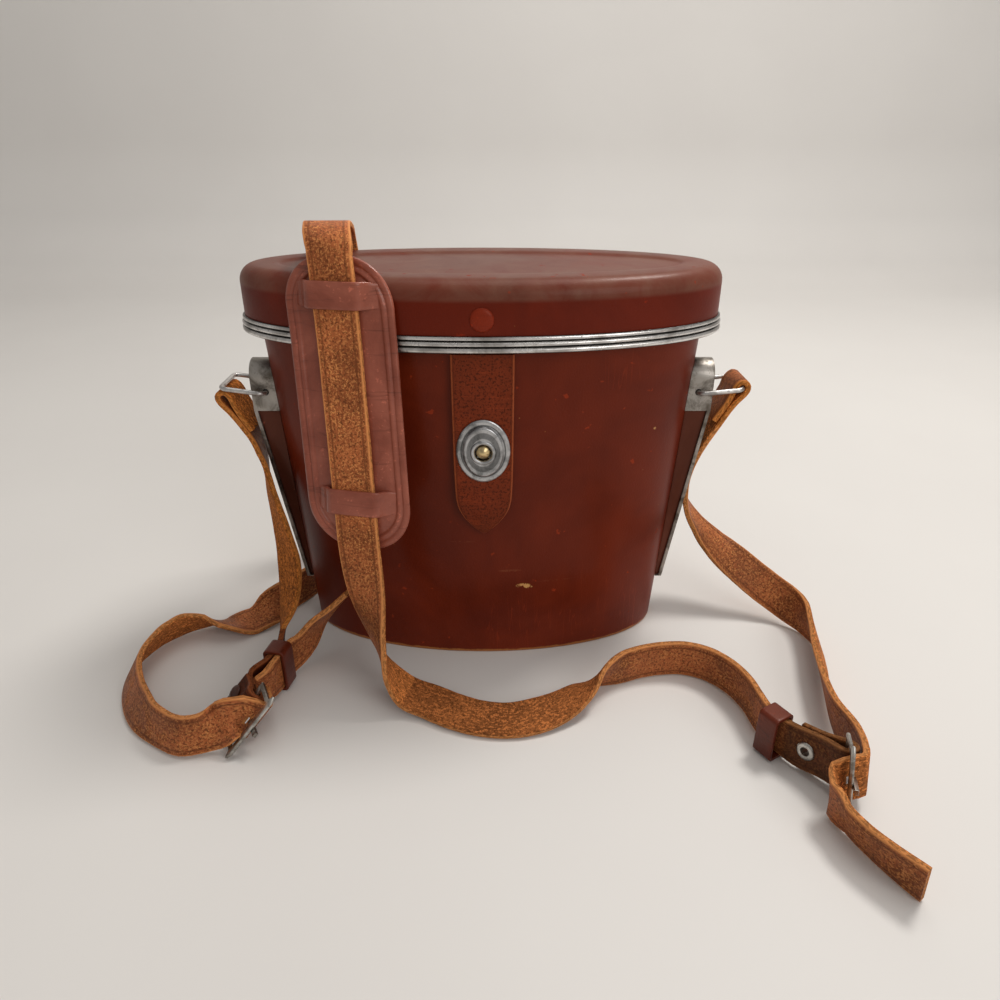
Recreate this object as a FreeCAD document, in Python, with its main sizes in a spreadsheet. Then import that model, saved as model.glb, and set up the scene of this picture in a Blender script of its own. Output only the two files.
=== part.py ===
import FreeCAD, Part
import math
import os
from FreeCAD import Placement, Rotation, Vector

# Binocular hard case: an oval moulded leather body with a hinged lid, a snap tab on the front,
# a strap bracket with a wire loop on each side, and a shoulder strap with a stamped leather pad.
# Millimetres. The origin is the bottom centre, +Z is up, the tab faces -Y and the hinge is at +Y.

doc = FreeCAD.newDocument("binocular_case")
sheet = doc.addObject("Spreadsheet::Sheet", "sizes")

SIZES = [
    # the body: half widths run along X and half depths along Y, on the outside of the leather
    ("base_half_width", 78.2),
    ("base_half_depth", 34.8),
    ("mouth_half_width", 87.9),
    ("mouth_half_depth", 35.5),
    ("mouth_height", 146.0),
    ("body_wall", 2.8),
    ("bottom_thick", 3.0),
    ("lining_thick", 0.7),
    ("felt_thick", 2.0),
    ("glue_gap", 0.05),
    # the metal band over the edge of the mouth
    ("band_leg", 6.5),
    ("band_metal", 0.5),
    # the lid
    ("lid_gap", 2.4),
    ("lid_wall", 2.8),
    ("lid_overlap", 9.8),
    ("lid_rise", 24.2),
    ("lid_corner", 6.5),
    ("lid_inner_corner", 4.2),
    ("panel_border", 8.6),
    ("panel_step", 2.2),
    ("panel_sink", 0.9),
    ("lid_lining_drop", 2.2),
    # the metal trim round the lid's edge
    ("trim_tall", 6.2),
    ("trim_proud", 1.5),
    ("trim_lip", 0.8),
    # the hinge at the back
    ("hinge_span", 36.0),
    ("hinge_knuckles", 5),
    ("knuckle_radius", 2.0),
    ("knuckle_gap", 0.25),
    ("pin_radius", 0.8),
    ("pin_clearance", 0.05),
    ("hinge_out", 2.7),
    ("hinge_drop", 2.5),
    ("leaf_thick", 0.7),
    ("leaf_tall", 17.0),
    ("leaf_clearance", 0.6),
    # rivets that hold the hinge and the brackets
    ("rivet_radius", 1.1),
    ("rivet_head_radius", 2.1),
    ("rivet_head_thick", 0.6),
    ("rivet_clearance", 0.05),
    ("hinge_rivet_pitch", 12.0),
    # the closing tab
    ("tab_centre", 1.0),
    ("tab_wide", 23.0),
    ("tab_long", 73.0),
    ("tab_point", 21.0),
    ("tab_thick", 2.0),
    # its back is thinned towards its top, so that it clears the mouth band as the lid swings
    ("tab_skive", 0.95),
    ("tab_skive_flat", 5.0),
    ("tab_skive_long", 14.0),
    ("tab_root_thick", 1.0),
    ("tab_root_tall", 14.8),
    ("tab_hinge_drop", 1.4),
    ("tab_hinge_gap", 0.4),
    ("tab_stand_off", 1.1),
    ("cap_radius", 4.3),
    ("cap_thick", 1.1),
    ("cap_shank", 1.3),
    ("cap_rise", 11.0),
    # the snap fastener
    ("stud_drop", 38.0),
    ("plate_wide", 20.4),
    ("plate_tall", 25.4),
    ("plate_base", 0.7),
    ("plate_step_wide", 15.4),
    ("plate_step_tall", 18.4),
    ("plate_step", 1.2),
    ("plate_skin", 0.5),
    ("collar_radius", 4.6),
    ("collar_rise", 0.7),
    ("stud_head_radius", 2.8),
    ("stud_neck_radius", 1.8),
    ("stud_reach", 6.3),
    ("stud_dome", 1.5),
    ("stud_clearance", 0.4),
    ("spring_wire", 0.6),
    ("backplate_thick", 0.4),
    ("escutcheon_radius", 4.2),
    # the strap brackets on the sides
    ("lug_wide", 14.0),
    ("lug_tip_wide", 8.0),
    ("lug_reach", 9.0),
    ("lug_tip_reach", 2.6),
    ("lug_low", 20.0),
    ("lug_top_drop", 23.6),
    ("lug_block_tall", 20.4),
    ("lug_skin", 1.5),
    ("lug_hole_drop", 12.4),
    ("lug_hole_depth", 2.6),
    ("lug_hole_radius", 1.3),
    ("inlay_margin", 1.0),
    # the wire loops
    ("loop_wire", 0.95),
    ("loop_long", 17.6),
    ("loop_half_wide", 9.6),
    ("loop_bend", 2.6),
    ("right_loop_tilt", 6.0),
    ("left_loop_tilt", -8.0),
    # the strap
    ("strap_wide", 16.0),
    ("strap_thick", 2.4),
    ("strap_gap", 0.4),
    ("fold_long", 17.0),
    ("fold_lean", 30.0),
    ("loop_fold_mid", 2.4),
    # the shoulder pad
    ("pad_wide", 40.0),
    ("pad_thick", 3.0),
    ("bridge_long", 9.0),
    ("bridge_side", 3.0),
    ("bridge_thick", 1.6),
    # the buckles
    ("buckle_wide", 24.4),
    ("buckle_deep", 11.0),
    ("buckle_metal", 1.4),
    ("heel_bar", 2.4),
    ("far_bar", 2.7),
    ("buckle_side", 2.0),
    ("prong_wide", 1.9),
    ("prong_thick", 1.3),
    ("prong_over", 2.4),
    ("keeper_long", 8.0),
    ("keeper_thick", 1.4),
    ("stud_rivet_radius", 3.2),
    ("stud_rivet_thick", 0.8),
    ("grommet_radius", 3.4),
    ("grommet_bore", 1.7),
    ("wing_reach", 14.8),
    ("fold_mid", 2.7),
    ("fold_closed", 1.35),
    ("fold_joined", 11.0),
    ("eyelet_at", 13.5),
    ("rivet_at", 8.3),
    ("keeper_gap", 0.3),
    # how far apart the cross-sections of a strap are
    ("strap_step", 5.0),
    # the pad's lean: its yaw and how far it slopes out per millimetre down, above and below the trim
    ("pad_yaw", 12.0),
    ("pad_clear", 0.4),
    ("pad_slope_high", 0.114),
    ("pad_slope_low", 0.2),
    ("pad_centre", 49.0),
    ("pad_drift", 0.044),
    ("pad_low", 64.0),
    ("pad_high", 168.0),
    ("bridge_low", 82.5),
    ("bridge_high", 155.0),
    # one overrun for every cut
    ("overrun", 5.0),
]

for row, (alias, value) in enumerate(SIZES, start=1):
    sheet.set("A%d" % row, alias)
    sheet.set("B%d" % row, str(value))
    sheet.setAlias("B%d" % row, alias)
doc.recompute()


class Sizes:
    """Reads a size from the sheet by its name."""

    def __getattr__(self, name):
        return float(getattr(sheet, name))


size = Sizes()
nodes = {}


def keep(name, thing):
    """Registers one finished sub-part under the name of its file."""
    thing.Label = name
    nodes[name] = thing
    return thing


def number(text):
    """The value of an expression on the sheet's sizes."""
    return float(sheet.evalExpression(text))


def ring(half_width, half_depth, level):
    """An ellipse round the case's axis. The arguments are expressions."""
    curve = doc.addObject("Part::Ellipse", "ring")
    curve.setExpression("MajorRadius", half_width)
    curve.setExpression("MinorRadius", half_depth)
    curve.setExpression("Placement.Base.z", level)
    return curve


def stack(rings, name="stack"):
    """A solid ruled through rings, from the lowest to the highest."""
    loft = doc.addObject("Part::Loft", name)
    loft.Sections = [ring(*item) for item in rings]
    loft.Solid = True
    loft.Ruled = True
    return loft


def cut(base, tools, name="cut"):
    """base without the tools."""
    thing = doc.addObject("Part::Cut", name)
    thing.Base = base
    thing.Tool = tools[0] if len(tools) == 1 else join(tools)
    return thing


def join(things, name="join"):
    thing = doc.addObject("Part::MultiFuse", name)
    thing.Shapes = things
    return thing


def group(things, name="group"):
    """Separate solids that share one node."""
    thing = doc.addObject("Part::Compound", name)
    thing.Links = things
    return thing


def rod(axis, radius, length, x, y, z, name="rod"):
    """A cylinder from a point along +X, +Y or -Y, with its sizes as expressions."""
    turn = {"x": Rotation(Vector(0, 1, 0), 90), "y": Rotation(Vector(1, 0, 0), -90),
            "-y": Rotation(Vector(1, 0, 0), 90)}
    thing = doc.addObject("Part::Cylinder", name)
    thing.Placement = Placement(Vector(), turn[axis])
    thing.setExpression("Radius", radius)
    thing.setExpression("Height", length)
    thing.setExpression("Placement.Base.x", x)
    thing.setExpression("Placement.Base.y", y)
    thing.setExpression("Placement.Base.z", z)
    return thing


def box(low, high, name="box"):
    """A box between two corners, each three expressions."""
    thing = doc.addObject("Part::Box", name)
    for side, a, b in zip(("Length", "Width", "Height"), low, high):
        thing.setExpression(side, "(%s) - (%s)" % (b, a))
    for axis, a in zip("xyz", low):
        thing.setExpression("Placement.Base." + axis, a)
    return thing


def formed(name, shape):
    """A piece whose shape needs Part's own functions."""
    thing = doc.addObject("Part::Feature", name)
    thing.Shape = shape
    return thing


# levels and faces that several pieces share, as expressions

LID_LOW = "(sizes.mouth_height - sizes.lid_overlap)"
TRIM_LOW = "(%s - sizes.trim_lip)" % LID_LOW
TRIM_TOP = "(%s + sizes.trim_tall)" % TRIM_LOW
LID_TOP = "(%s + sizes.lid_rise)" % LID_LOW
LID_CEILING = "(%s - sizes.panel_sink - sizes.lid_wall)" % LID_TOP
HINGE_Z = "(%s - sizes.hinge_drop)" % TRIM_LOW


def body_width(level):
    spread = "(sizes.mouth_half_width - sizes.base_half_width)"
    return "(sizes.base_half_width + %s * (%s) / sizes.mouth_height)" % (spread, level)


def body_depth(level):
    spread = "(sizes.mouth_half_depth - sizes.base_half_depth)"
    return "(sizes.base_half_depth + %s * (%s) / sizes.mouth_height)" % (spread, level)


def body_face(x, level):
    """How far the body's outside stands from the middle plane at x."""
    return "(%s * sqrt(1 - ((%s) / %s)^2))" % (body_depth(level), x, body_width(level))


def body_ring(offset, level):
    """A ring that lies outside the body's leather by offset."""
    return body_width(level) + " + (%s)" % offset, body_depth(level) + " + (%s)" % offset, level


LID_WIDTH = "(sizes.mouth_half_width + sizes.lid_gap + sizes.lid_wall)"
LID_DEPTH = "(sizes.mouth_half_depth + sizes.lid_gap + sizes.lid_wall)"


def lid_face(x, offset="0"):
    """How far the lid's outside, moved by offset, stands from the middle plane at x."""
    return "((%s + %s) * sqrt(1 - ((%s) / (%s + %s))^2))" % (LID_DEPTH, offset, x, LID_WIDTH, offset)


def lid_ring(offset, level):
    """A ring that lies outside the lid's leather by offset."""
    return "%s + (%s)" % (LID_WIDTH, offset), "%s + (%s)" % (LID_DEPTH, offset), level


HINGE_Y = "(%s + sizes.hinge_out)" % body_depth(HINGE_Z)


def corner_rings(offset, top, radius, steps):
    """Rings that round a wall into a flat top."""
    rings = []
    for step in range(steps + 1):
        turn = 90.0 * step / steps
        inward = "(%s) - %s * (1 - cos(%g deg))" % (offset, radius, turn)
        rings.append(lid_ring(inward, "%s - %s + %s * sin(%g deg)" % (top, radius, radius, turn)))
    return rings


# the body

def rivet(x, level, inner, outer, side):
    """A rivet through a wall. inner and outer are distances from the middle plane; side is 1 or -1 for y."""
    sign = "" if side > 0 else "-"
    axis = "y" if side > 0 else "-y"
    thick = "sizes.rivet_head_thick"
    pieces = [
        rod(axis, "sizes.rivet_radius", "(%s) - (%s) + 2 * %s" % (outer, inner, thick), x,
            "%s((%s) - %s)" % (sign, inner, thick), level),
        rod(axis, "sizes.rivet_head_radius", thick, x, "%s((%s) - %s)" % (sign, inner, thick), level),
        rod(axis, "sizes.rivet_head_radius", thick, x, "%s(%s)" % (sign, outer), level),
    ]
    return join(pieces, "rivet")


def hole(x, level, start, side, radius="sizes.rivet_radius + sizes.rivet_clearance"):
    """A cut through a wall from the middle plane outwards."""
    sign = "" if side > 0 else "-"
    axis = "y" if side > 0 else "-y"
    return rod(axis, radius, "sizes.mouth_half_depth + sizes.lid_gap + sizes.lid_wall + 2 * sizes.overrun",
               x, "%s(%s)" % (sign, start), level, "hole")


HINGE_RIVET_X = ["%d * sizes.hinge_rivet_pitch" % step for step in (-1, 0, 1)]
LEAF_LOW = "(%s - sizes.leaf_tall)" % HINGE_Z
BODY_RIVET_Z = "(%s + 2 * sizes.rivet_head_radius)" % LEAF_LOW
LID_RIVET_Z = "(%s + sizes.rivet_head_radius + sizes.trim_proud)" % TRIM_TOP
PIVOT_Z = "(%s - sizes.tab_hinge_drop)" % TRIM_LOW
STUD_Z = "(%s - sizes.stud_drop)" % TRIM_LOW
LUG_TOP_Z = "(sizes.mouth_height - sizes.lug_top_drop)"
LUG_BLOCK_Z = "(%s - sizes.lug_block_tall)" % LUG_TOP_Z
LUG_HOLE_Z = "(%s - sizes.lug_hole_drop)" % LUG_TOP_Z
LUG_RIVETS_Z = ["(%s + sizes.lug_hole_radius + 2 * sizes.rivet_head_radius)" % LUG_HOLE_Z,
                "(sizes.lug_low + (%s - sizes.lug_low) / 3)" % LUG_BLOCK_Z]
INSIDE = "sizes.body_wall + sizes.glue_gap"


def side_hole(side, level, radius):
    """A cut along X through one side wall."""
    start = "0" if side > 0 else "-%s - sizes.lug_reach" % body_width(level)
    return rod("x", radius, body_width(level) + " + sizes.lug_reach", start, "0", level, "side_hole")


def wall_holes(extra):
    """Cuts for everything that is riveted through the body, wider than its shank by extra."""
    radius = "sizes.rivet_radius + sizes.rivet_clearance + " + extra
    holes = [hole(x, BODY_RIVET_Z, "sizes.mouth_half_depth / 2", 1, radius) for x in HINGE_RIVET_X]
    holes.append(hole("sizes.tab_centre", STUD_Z, "sizes.mouth_half_depth / 2", -1,
                      "sizes.stud_neck_radius + sizes.rivet_clearance + " + extra))
    holes += [side_hole(side, level, radius) for side in (1, -1) for level in LUG_RIVETS_Z]
    return holes


def body_shell():
    outside = stack([body_ring("0", "0"), body_ring("0", "sizes.mouth_height")])
    inside = stack([body_ring("-sizes.body_wall", "-sizes.overrun"),
                    body_ring("-sizes.body_wall", "sizes.mouth_height + sizes.overrun")])
    keep("body_shell", cut(cut(outside, [inside]), wall_holes("0")))


def body_bottom():
    keep("body_bottom", stack([body_ring("-" + INSIDE.replace(" + ", " - "), "0"),
                               body_ring("-" + INSIDE.replace(" + ", " - "), "sizes.bottom_thick")]))


def body_lining():
    low = "sizes.bottom_thick + sizes.glue_gap"
    top = "sizes.mouth_height - sizes.band_leg - sizes.glue_gap"
    inward = "-sizes.body_wall - sizes.glue_gap"
    outside = stack([body_ring(inward, low), body_ring(inward, top)])
    inner = inward + " - sizes.lining_thick"
    inside = stack([body_ring(inner, low + " - sizes.overrun"), body_ring(inner, top + " + sizes.overrun")])
    room = "sizes.rivet_head_radius - sizes.rivet_radius"
    keep("body_lining", cut(cut(outside, [inside]), wall_holes(room)))


def bottom_felt():
    inward = "-sizes.body_wall - sizes.lining_thick - 3 * sizes.glue_gap"
    low = "sizes.bottom_thick + sizes.glue_gap"
    keep("bottom_felt", stack([body_ring(inward, low), body_ring(inward, low + " + sizes.felt_thick")]))


def mouth_band():
    """A folded metal strip over the edge of the mouth."""
    low = "sizes.mouth_height - sizes.band_leg"
    top = "sizes.mouth_height + sizes.glue_gap + sizes.band_metal"
    out = "sizes.glue_gap + sizes.band_metal"
    outside = stack([body_ring(out, low), body_ring(out, top)])
    inner = "-sizes.body_wall - sizes.glue_gap - sizes.band_metal"
    inside = stack([body_ring(inner, low + " - sizes.overrun"), body_ring(inner, top + " + sizes.overrun")])
    wall_out = stack([body_ring("sizes.glue_gap", low + " - sizes.overrun"),
                      body_ring("sizes.glue_gap", "sizes.mouth_height + sizes.glue_gap")])
    wall_in = stack([body_ring("-" + INSIDE.replace(" + ", " - "), low + " - 2 * sizes.overrun"),
                     body_ring("-" + INSIDE.replace(" + ", " - "), top + " + sizes.overrun")])
    keep("mouth_band", cut(cut(outside, [inside]), [cut(wall_out, [wall_in])]))


# the lid

CORNER_STEPS = 5
STEP_SHARES = [(0.2, 0.06), (0.4, 0.3), (0.6, 0.7), (0.8, 0.94), (1.0, 1.0)]
TRIM_SHARES = [(0.0, 0.55), (0.04, 0.85), (0.12, 1.0), (0.2, 0.98), (0.27, 0.8), (0.31, 0.62), (0.42, 0.62),
               (0.46, 0.78), (0.51, 0.86), (0.56, 0.78), (0.6, 0.58), (0.66, 0.5), (0.7, 0.68), (0.77, 0.84),
               (0.85, 0.84), (0.93, 0.66), (0.98, 0.38), (1.0, 0.1)]


def lid_shell():
    rings = [lid_ring("0", LID_LOW)] + corner_rings("0", LID_TOP, "sizes.lid_corner", CORNER_STEPS)
    edge = "-(sizes.lid_corner + sizes.panel_border)"
    rings.append(lid_ring(edge, LID_TOP))
    for across, down in STEP_SHARES:
        rings.append(lid_ring("%s - %g * sizes.panel_step" % (edge, across),
                              "%s - %g * sizes.panel_sink" % (LID_TOP, down)))
    outside = stack(rings)
    inside = stack([lid_ring("-sizes.lid_wall", LID_LOW + " - sizes.overrun")]
                   + corner_rings("-sizes.lid_wall", LID_CEILING, "sizes.lid_inner_corner", CORNER_STEPS))
    holes = [hole(x, LID_RIVET_Z, "sizes.mouth_half_depth / 2", 1) for x in HINGE_RIVET_X]
    holes.append(hole("sizes.tab_centre", LID_LOW + " + sizes.cap_rise", "sizes.mouth_half_depth / 2", -1,
                      "sizes.cap_shank + sizes.rivet_clearance"))
    keep("lid_shell", cut(cut(outside, [inside]), holes))


def lid_lining():
    """Cloth on the lid's ceiling and the top of its walls."""
    top = "%s - sizes.glue_gap" % LID_CEILING
    inward = "-sizes.lid_wall - sizes.glue_gap"
    low = "%s - sizes.lid_inner_corner - sizes.lid_lining_drop" % LID_CEILING
    thick = "sizes.lining_thick"
    radius = "(sizes.lid_inner_corner - %s)" % thick
    outside = stack([lid_ring(inward, low)] + corner_rings(inward, top, "sizes.lid_inner_corner",
                                                           CORNER_STEPS))
    inside = stack([lid_ring(inward + " - " + thick, low + " - sizes.overrun")]
                   + corner_rings(inward + " - " + thick, "%s - %s" % (top, thick), radius, CORNER_STEPS))
    keep("lid_lining", cut(outside, [inside]))


def lid_trim_band():
    """The rolled metal trim that takes the lid's lower edge."""
    rings = [lid_ring("sizes.trim_proud * %g" % out, "%s + sizes.trim_tall * %g" % (TRIM_LOW, up)) for up,
             out in TRIM_SHARES]
    outside = stack(rings)
    above = stack([lid_ring("sizes.glue_gap", LID_LOW), lid_ring("sizes.glue_gap",
                                                                 TRIM_TOP + " + sizes.overrun")])
    mouth = stack([lid_ring("-sizes.lid_wall", TRIM_LOW + " - sizes.overrun"),
                   lid_ring("-sizes.lid_wall", TRIM_TOP)])
    keep("lid_trim_band", cut(outside, [above, mouth]))


# the hinge

def knuckle_span(index):
    """Where a knuckle starts and ends along X, as expressions."""
    pitch = "sizes.hinge_span / sizes.hinge_knuckles"
    low = "(-sizes.hinge_span / 2 + %d * %s + sizes.knuckle_gap / 2)" % (index, pitch)
    return low, "(%s + %s - sizes.knuckle_gap)" % (low, pitch)


def knuckles(indices):
    return [rod("x", "sizes.knuckle_radius", "%s - %s" % (knuckle_span(i)[1], knuckle_span(i)[0]),
                knuckle_span(i)[0], HINGE_Y, HINGE_Z, "knuckle") for i in indices]


def notches(indices):
    """Room for the other leaf's knuckles."""
    room = "(sizes.knuckle_radius + sizes.leaf_clearance)"
    boxes = []
    for index in indices:
        low, high = knuckle_span(index)
        boxes.append(box([low + " - sizes.knuckle_gap", "%s - sizes.overrun" % HINGE_Y,
                          "%s - %s" % (HINGE_Z, room)],
                         [high + " + sizes.knuckle_gap", "%s + sizes.overrun" % HINGE_Y,
                          "%s + %s" % (HINGE_Z, room)]))
    return boxes


LID_KNUCKLES = (1, 3)
BODY_KNUCKLES = (0, 2, 4)


def pin_bore():
    return rod("x", "sizes.pin_radius + sizes.pin_clearance", "sizes.hinge_span + 2 * sizes.overrun",
               "-sizes.hinge_span / 2 - sizes.overrun", HINGE_Y, HINGE_Z, "pin_bore")


def leaf_sheet(outer, inner, low, top):
    """A strip of curved sheet metal between two ring functions, as wide as the hinge."""
    sheet_metal = cut(stack([outer(low + " - sizes.overrun"), outer(top + " + sizes.overrun")]),
                      [stack([inner(low + " - 2 * sizes.overrun"), inner(top + " + 2 * sizes.overrun")])])
    strip = doc.addObject("Part::Common", "leaf_strip")
    strip.Base = sheet_metal
    strip.Tool = box(["-sizes.hinge_span / 2", "sizes.mouth_half_depth / 2", low],
                     ["sizes.hinge_span / 2", "sizes.mouth_half_depth + 2 * sizes.overrun", top])
    return strip


def hinge_lid_leaf():
    face = "-sizes.lid_wall - sizes.glue_gap"
    strip = leaf_sheet(lambda z: lid_ring(face, z), lambda z: lid_ring(face + " - sizes.leaf_thick", z),
                       HINGE_Z, "(%s + sizes.leaf_tall)" % HINGE_Z)
    holes = [hole(x, LID_RIVET_Z, "sizes.mouth_half_depth / 2", 1) for x in HINGE_RIVET_X]
    keep("hinge_lid_leaf", cut(join([cut(strip, notches(BODY_KNUCKLES))] + knuckles(LID_KNUCKLES)),
                               [pin_bore()] + holes))


def hinge_body_leaf():
    strip = leaf_sheet(lambda z: body_ring("sizes.glue_gap + sizes.leaf_thick", z),
                       lambda z: body_ring("sizes.glue_gap", z),
                       LEAF_LOW, HINGE_Z)
    webs = []
    for index in BODY_KNUCKLES:
        low, high = knuckle_span(index)
        webs.append(box([low, "%s - sizes.overrun" % HINGE_Y, "%s - sizes.knuckle_radius" % HINGE_Z],
                        [high, HINGE_Y, "%s - sizes.knuckle_radius / 2" % HINGE_Z]))
    clear = stack([body_ring("sizes.glue_gap", LEAF_LOW + " - 2 * sizes.overrun"),
                   body_ring("sizes.glue_gap", HINGE_Z + " + sizes.overrun")])
    web = cut(join(webs), [clear])
    holes = [hole(x, BODY_RIVET_Z, "sizes.mouth_half_depth / 2", 1) for x in HINGE_RIVET_X]
    keep("hinge_body_leaf", cut(join([cut(strip, notches(LID_KNUCKLES)), web] + knuckles(BODY_KNUCKLES)),
                                [pin_bore()] + holes))


def hinge_pin():
    keep("hinge_pin", rod("x", "sizes.pin_radius", "sizes.hinge_span + 2 * sizes.pin_radius",
                          "-sizes.hinge_span / 2 - sizes.pin_radius", HINGE_Y, HINGE_Z, "pin"))


def hinge_rivets():
    on_lid, on_body = [], []
    for x in HINGE_RIVET_X:
        inner = lid_face("abs(%s) + sizes.rivet_head_radius" % x,
                         "(-sizes.lid_wall - sizes.glue_gap - sizes.leaf_thick)")
        outer = lid_face("abs(%s) - sizes.rivet_head_radius" % x) + " + sizes.glue_gap"
        on_lid.append(rivet(x, LID_RIVET_Z, inner + " - sizes.glue_gap", outer, 1))
        face = body_face("abs(%s) + sizes.rivet_head_radius" % x, BODY_RIVET_Z)
        wall = "(%s - sizes.body_wall - sizes.glue_gap)" % face
        near = body_face("abs(%s) - sizes.rivet_head_radius" % x, BODY_RIVET_Z + " + sizes.rivet_head_radius")
        outer = "%s + 3 * sizes.glue_gap + sizes.leaf_thick" % near
        on_body.append(rivet(x, BODY_RIVET_Z, wall, outer, 1))
    keep("hinge_lid_rivets", group(on_lid))
    keep("hinge_body_rivets", group(on_body))


# plain shapes for the pieces that aren't symmetrical

def turned(x, level, profile):
    """A solid turned about an axis along Y. profile holds (radius, distance in front of the middle plane)."""
    points = [Vector(x + radius, -out, level) for radius, out in profile]
    face = Part.Face(Part.makePolygon(points + points[:1]))
    return face.revolve(Vector(x, 0, level), Vector(0, 1, 0), 360)


def oval(x, level, half_wide, half_tall, out_from, out_to):
    """An upright oval slab between two distances in front of the middle plane."""
    centre = Vector(x, -out_from, level)
    curve = Part.Ellipse(centre + Vector(0, 0, half_tall), centre + Vector(half_wide, 0, 0), centre)
    return Part.Face(Part.Wire(curve.toShape())).extrude(Vector(0, out_from - out_to, 0))


def bar_y(x, level, radius, out_from, out_to):
    return Part.makeCylinder(radius, out_to - out_from, Vector(x, -out_from, level), Vector(0, -1, 0))


def mirrored(shape):
    return shape.mirror(Vector(), Vector(1, 0, 0))


def solid_of(shape):
    """The largest solid of a result. A cut can leave crumbs."""
    return max(shape.Solids, key=lambda solid: solid.Volume)


TAB_X = size.tab_centre
TAB_BACK = number(body_face("sizes.tab_centre", PIVOT_Z)) + size.tab_stand_off
TAB_FRONT = TAB_BACK + size.tab_thick
TAB_TOP = number(PIVOT_Z) + size.tab_hinge_gap
STUD_LEVEL = number(STUD_Z)
WALL_FRONT = number(body_face("sizes.tab_centre", STUD_Z))
CAP_LEVEL = number(LID_LOW) + size.cap_rise
LID_FRONT = number(LID_DEPTH)
TIP_SHARES = [(0.93, 0.34), (0.72, 0.66), (0.42, 0.9), (0.18, 0.985)]


def tab_pieces():
    """The closing tab: its root inside the lid, the flap and the cap of its rivet."""
    inward = "-sizes.lid_wall - sizes.glue_gap"
    outer, inner = ["%s - %s" % (inward, extra) for extra in ("0", "sizes.tab_root_thick")]
    level = "sizes.mouth_height"
    strip = cut(stack([lid_ring(outer, LID_LOW + " - sizes.overrun"),
                       lid_ring(outer, level + " + sizes.overrun * 2")]),
                [stack([lid_ring(inner, LID_LOW + " - 2 * sizes.overrun"),
                        lid_ring(inner, level + " + 3 * sizes.overrun")])])
    low_text = "(%s + 3 * sizes.tab_hinge_gap)" % PIVOT_Z
    side = box(["sizes.tab_centre - sizes.tab_wide / 2", "-%s" % LID_DEPTH, low_text],
               ["sizes.tab_centre + sizes.tab_wide / 2", "-sizes.mouth_half_depth / 2",
                "%s + sizes.tab_root_tall" % low_text])
    root = doc.addObject("Part::Common", "root_strip")
    root.Base = strip
    root.Tool = side
    keep("tab_root", cut(root, [hole("sizes.tab_centre", LID_LOW + " + sizes.cap_rise",
                                     "sizes.mouth_half_depth / 2", -1,
                                     "sizes.cap_shank + sizes.rivet_clearance")]))
    gap = size.glue_gap
    inner_face = LID_FRONT - size.lid_wall - gap - size.tab_root_thick
    face = LID_FRONT + gap
    crown = size.cap_thick / 3
    cap = turned(TAB_X, CAP_LEVEL, [
        (0, inner_face - gap), (size.cap_shank, inner_face - gap), (size.cap_shank, face),
                                    (size.cap_radius, face),
        (size.cap_radius, face + crown), (size.cap_radius - crown, face + 2 * crown),
        (size.cap_radius / 2, face + size.cap_thick - crown / 3), (0, face + size.cap_thick)])
    keep("tab_rivet", formed("tab_rivet", cap))
    burr = bar_y(TAB_X, CAP_LEVEL, size.cap_shank + size.cap_thick / 3,
                 inner_face - 2 * gap - size.cap_thick / 3, inner_face - 2 * gap)
    keep("tab_rivet_burr", formed("tab_rivet_burr", burr))
    half = size.tab_wide / 2
    shoulder = TAB_TOP - size.tab_long + size.tab_point
    right = [Vector(TAB_X + half * across, -TAB_BACK, shoulder - size.tab_point * down) for across,
             down in TIP_SHARES]
    left = [Vector(2 * TAB_X - point.x, point.y, point.z) for point in reversed(right)]
    tip = Vector(TAB_X, -TAB_BACK, shoulder - size.tab_point)
    start = Vector(TAB_X + half, -TAB_BACK, shoulder)
    end = Vector(TAB_X - half, -TAB_BACK, shoulder)
    curve = Part.BSplineCurve()
    curve.interpolate([start] + right + [tip] + left + [end])
    top = [Vector(TAB_X - half, -TAB_BACK, TAB_TOP), Vector(TAB_X + half, -TAB_BACK, TAB_TOP)]
    edges = [curve.toShape(), Part.makeLine(end, top[0]), Part.makeLine(top[0], top[1]),
             Part.makeLine(top[1], start)]
    flap = Part.Face(Part.Wire(edges)).extrude(Vector(0, -size.tab_thick, 0))
    opening = bar_y(TAB_X, STUD_LEVEL, size.stud_head_radius + size.stud_clearance, TAB_BACK - size.overrun,
                    TAB_FRONT + size.overrun)
    posts = [bar_y(x, z, size.rivet_radius / 2 + size.rivet_clearance, TAB_BACK - size.overrun,
                   TAB_FRONT + size.overrun)
             for x, z in POSTS]
    skived = -TAB_BACK - size.tab_skive
    corners = [(size.overrun - TAB_BACK, TAB_TOP + size.overrun), (skived, TAB_TOP + size.overrun),
               (skived, TAB_TOP - size.tab_skive_flat), (-TAB_BACK, TAB_TOP - size.tab_skive_long),
               (size.overrun - TAB_BACK, TAB_TOP - size.tab_skive_long)]
    corners = [Vector(TAB_X - size.tab_wide, y, z) for y, z in corners]
    skive = Part.Face(Part.makePolygon(corners + corners[:1])).extrude(Vector(2 * size.tab_wide, 0, 0))
    keep("closure_tab", formed("closure_tab", flap.cut([opening, skive] + posts)))


POSTS = [(TAB_X,
          STUD_LEVEL + side * (size.plate_tall - size.backplate_thick * 4) / 2 * 0.86) for side in (-1, 1)]


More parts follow.
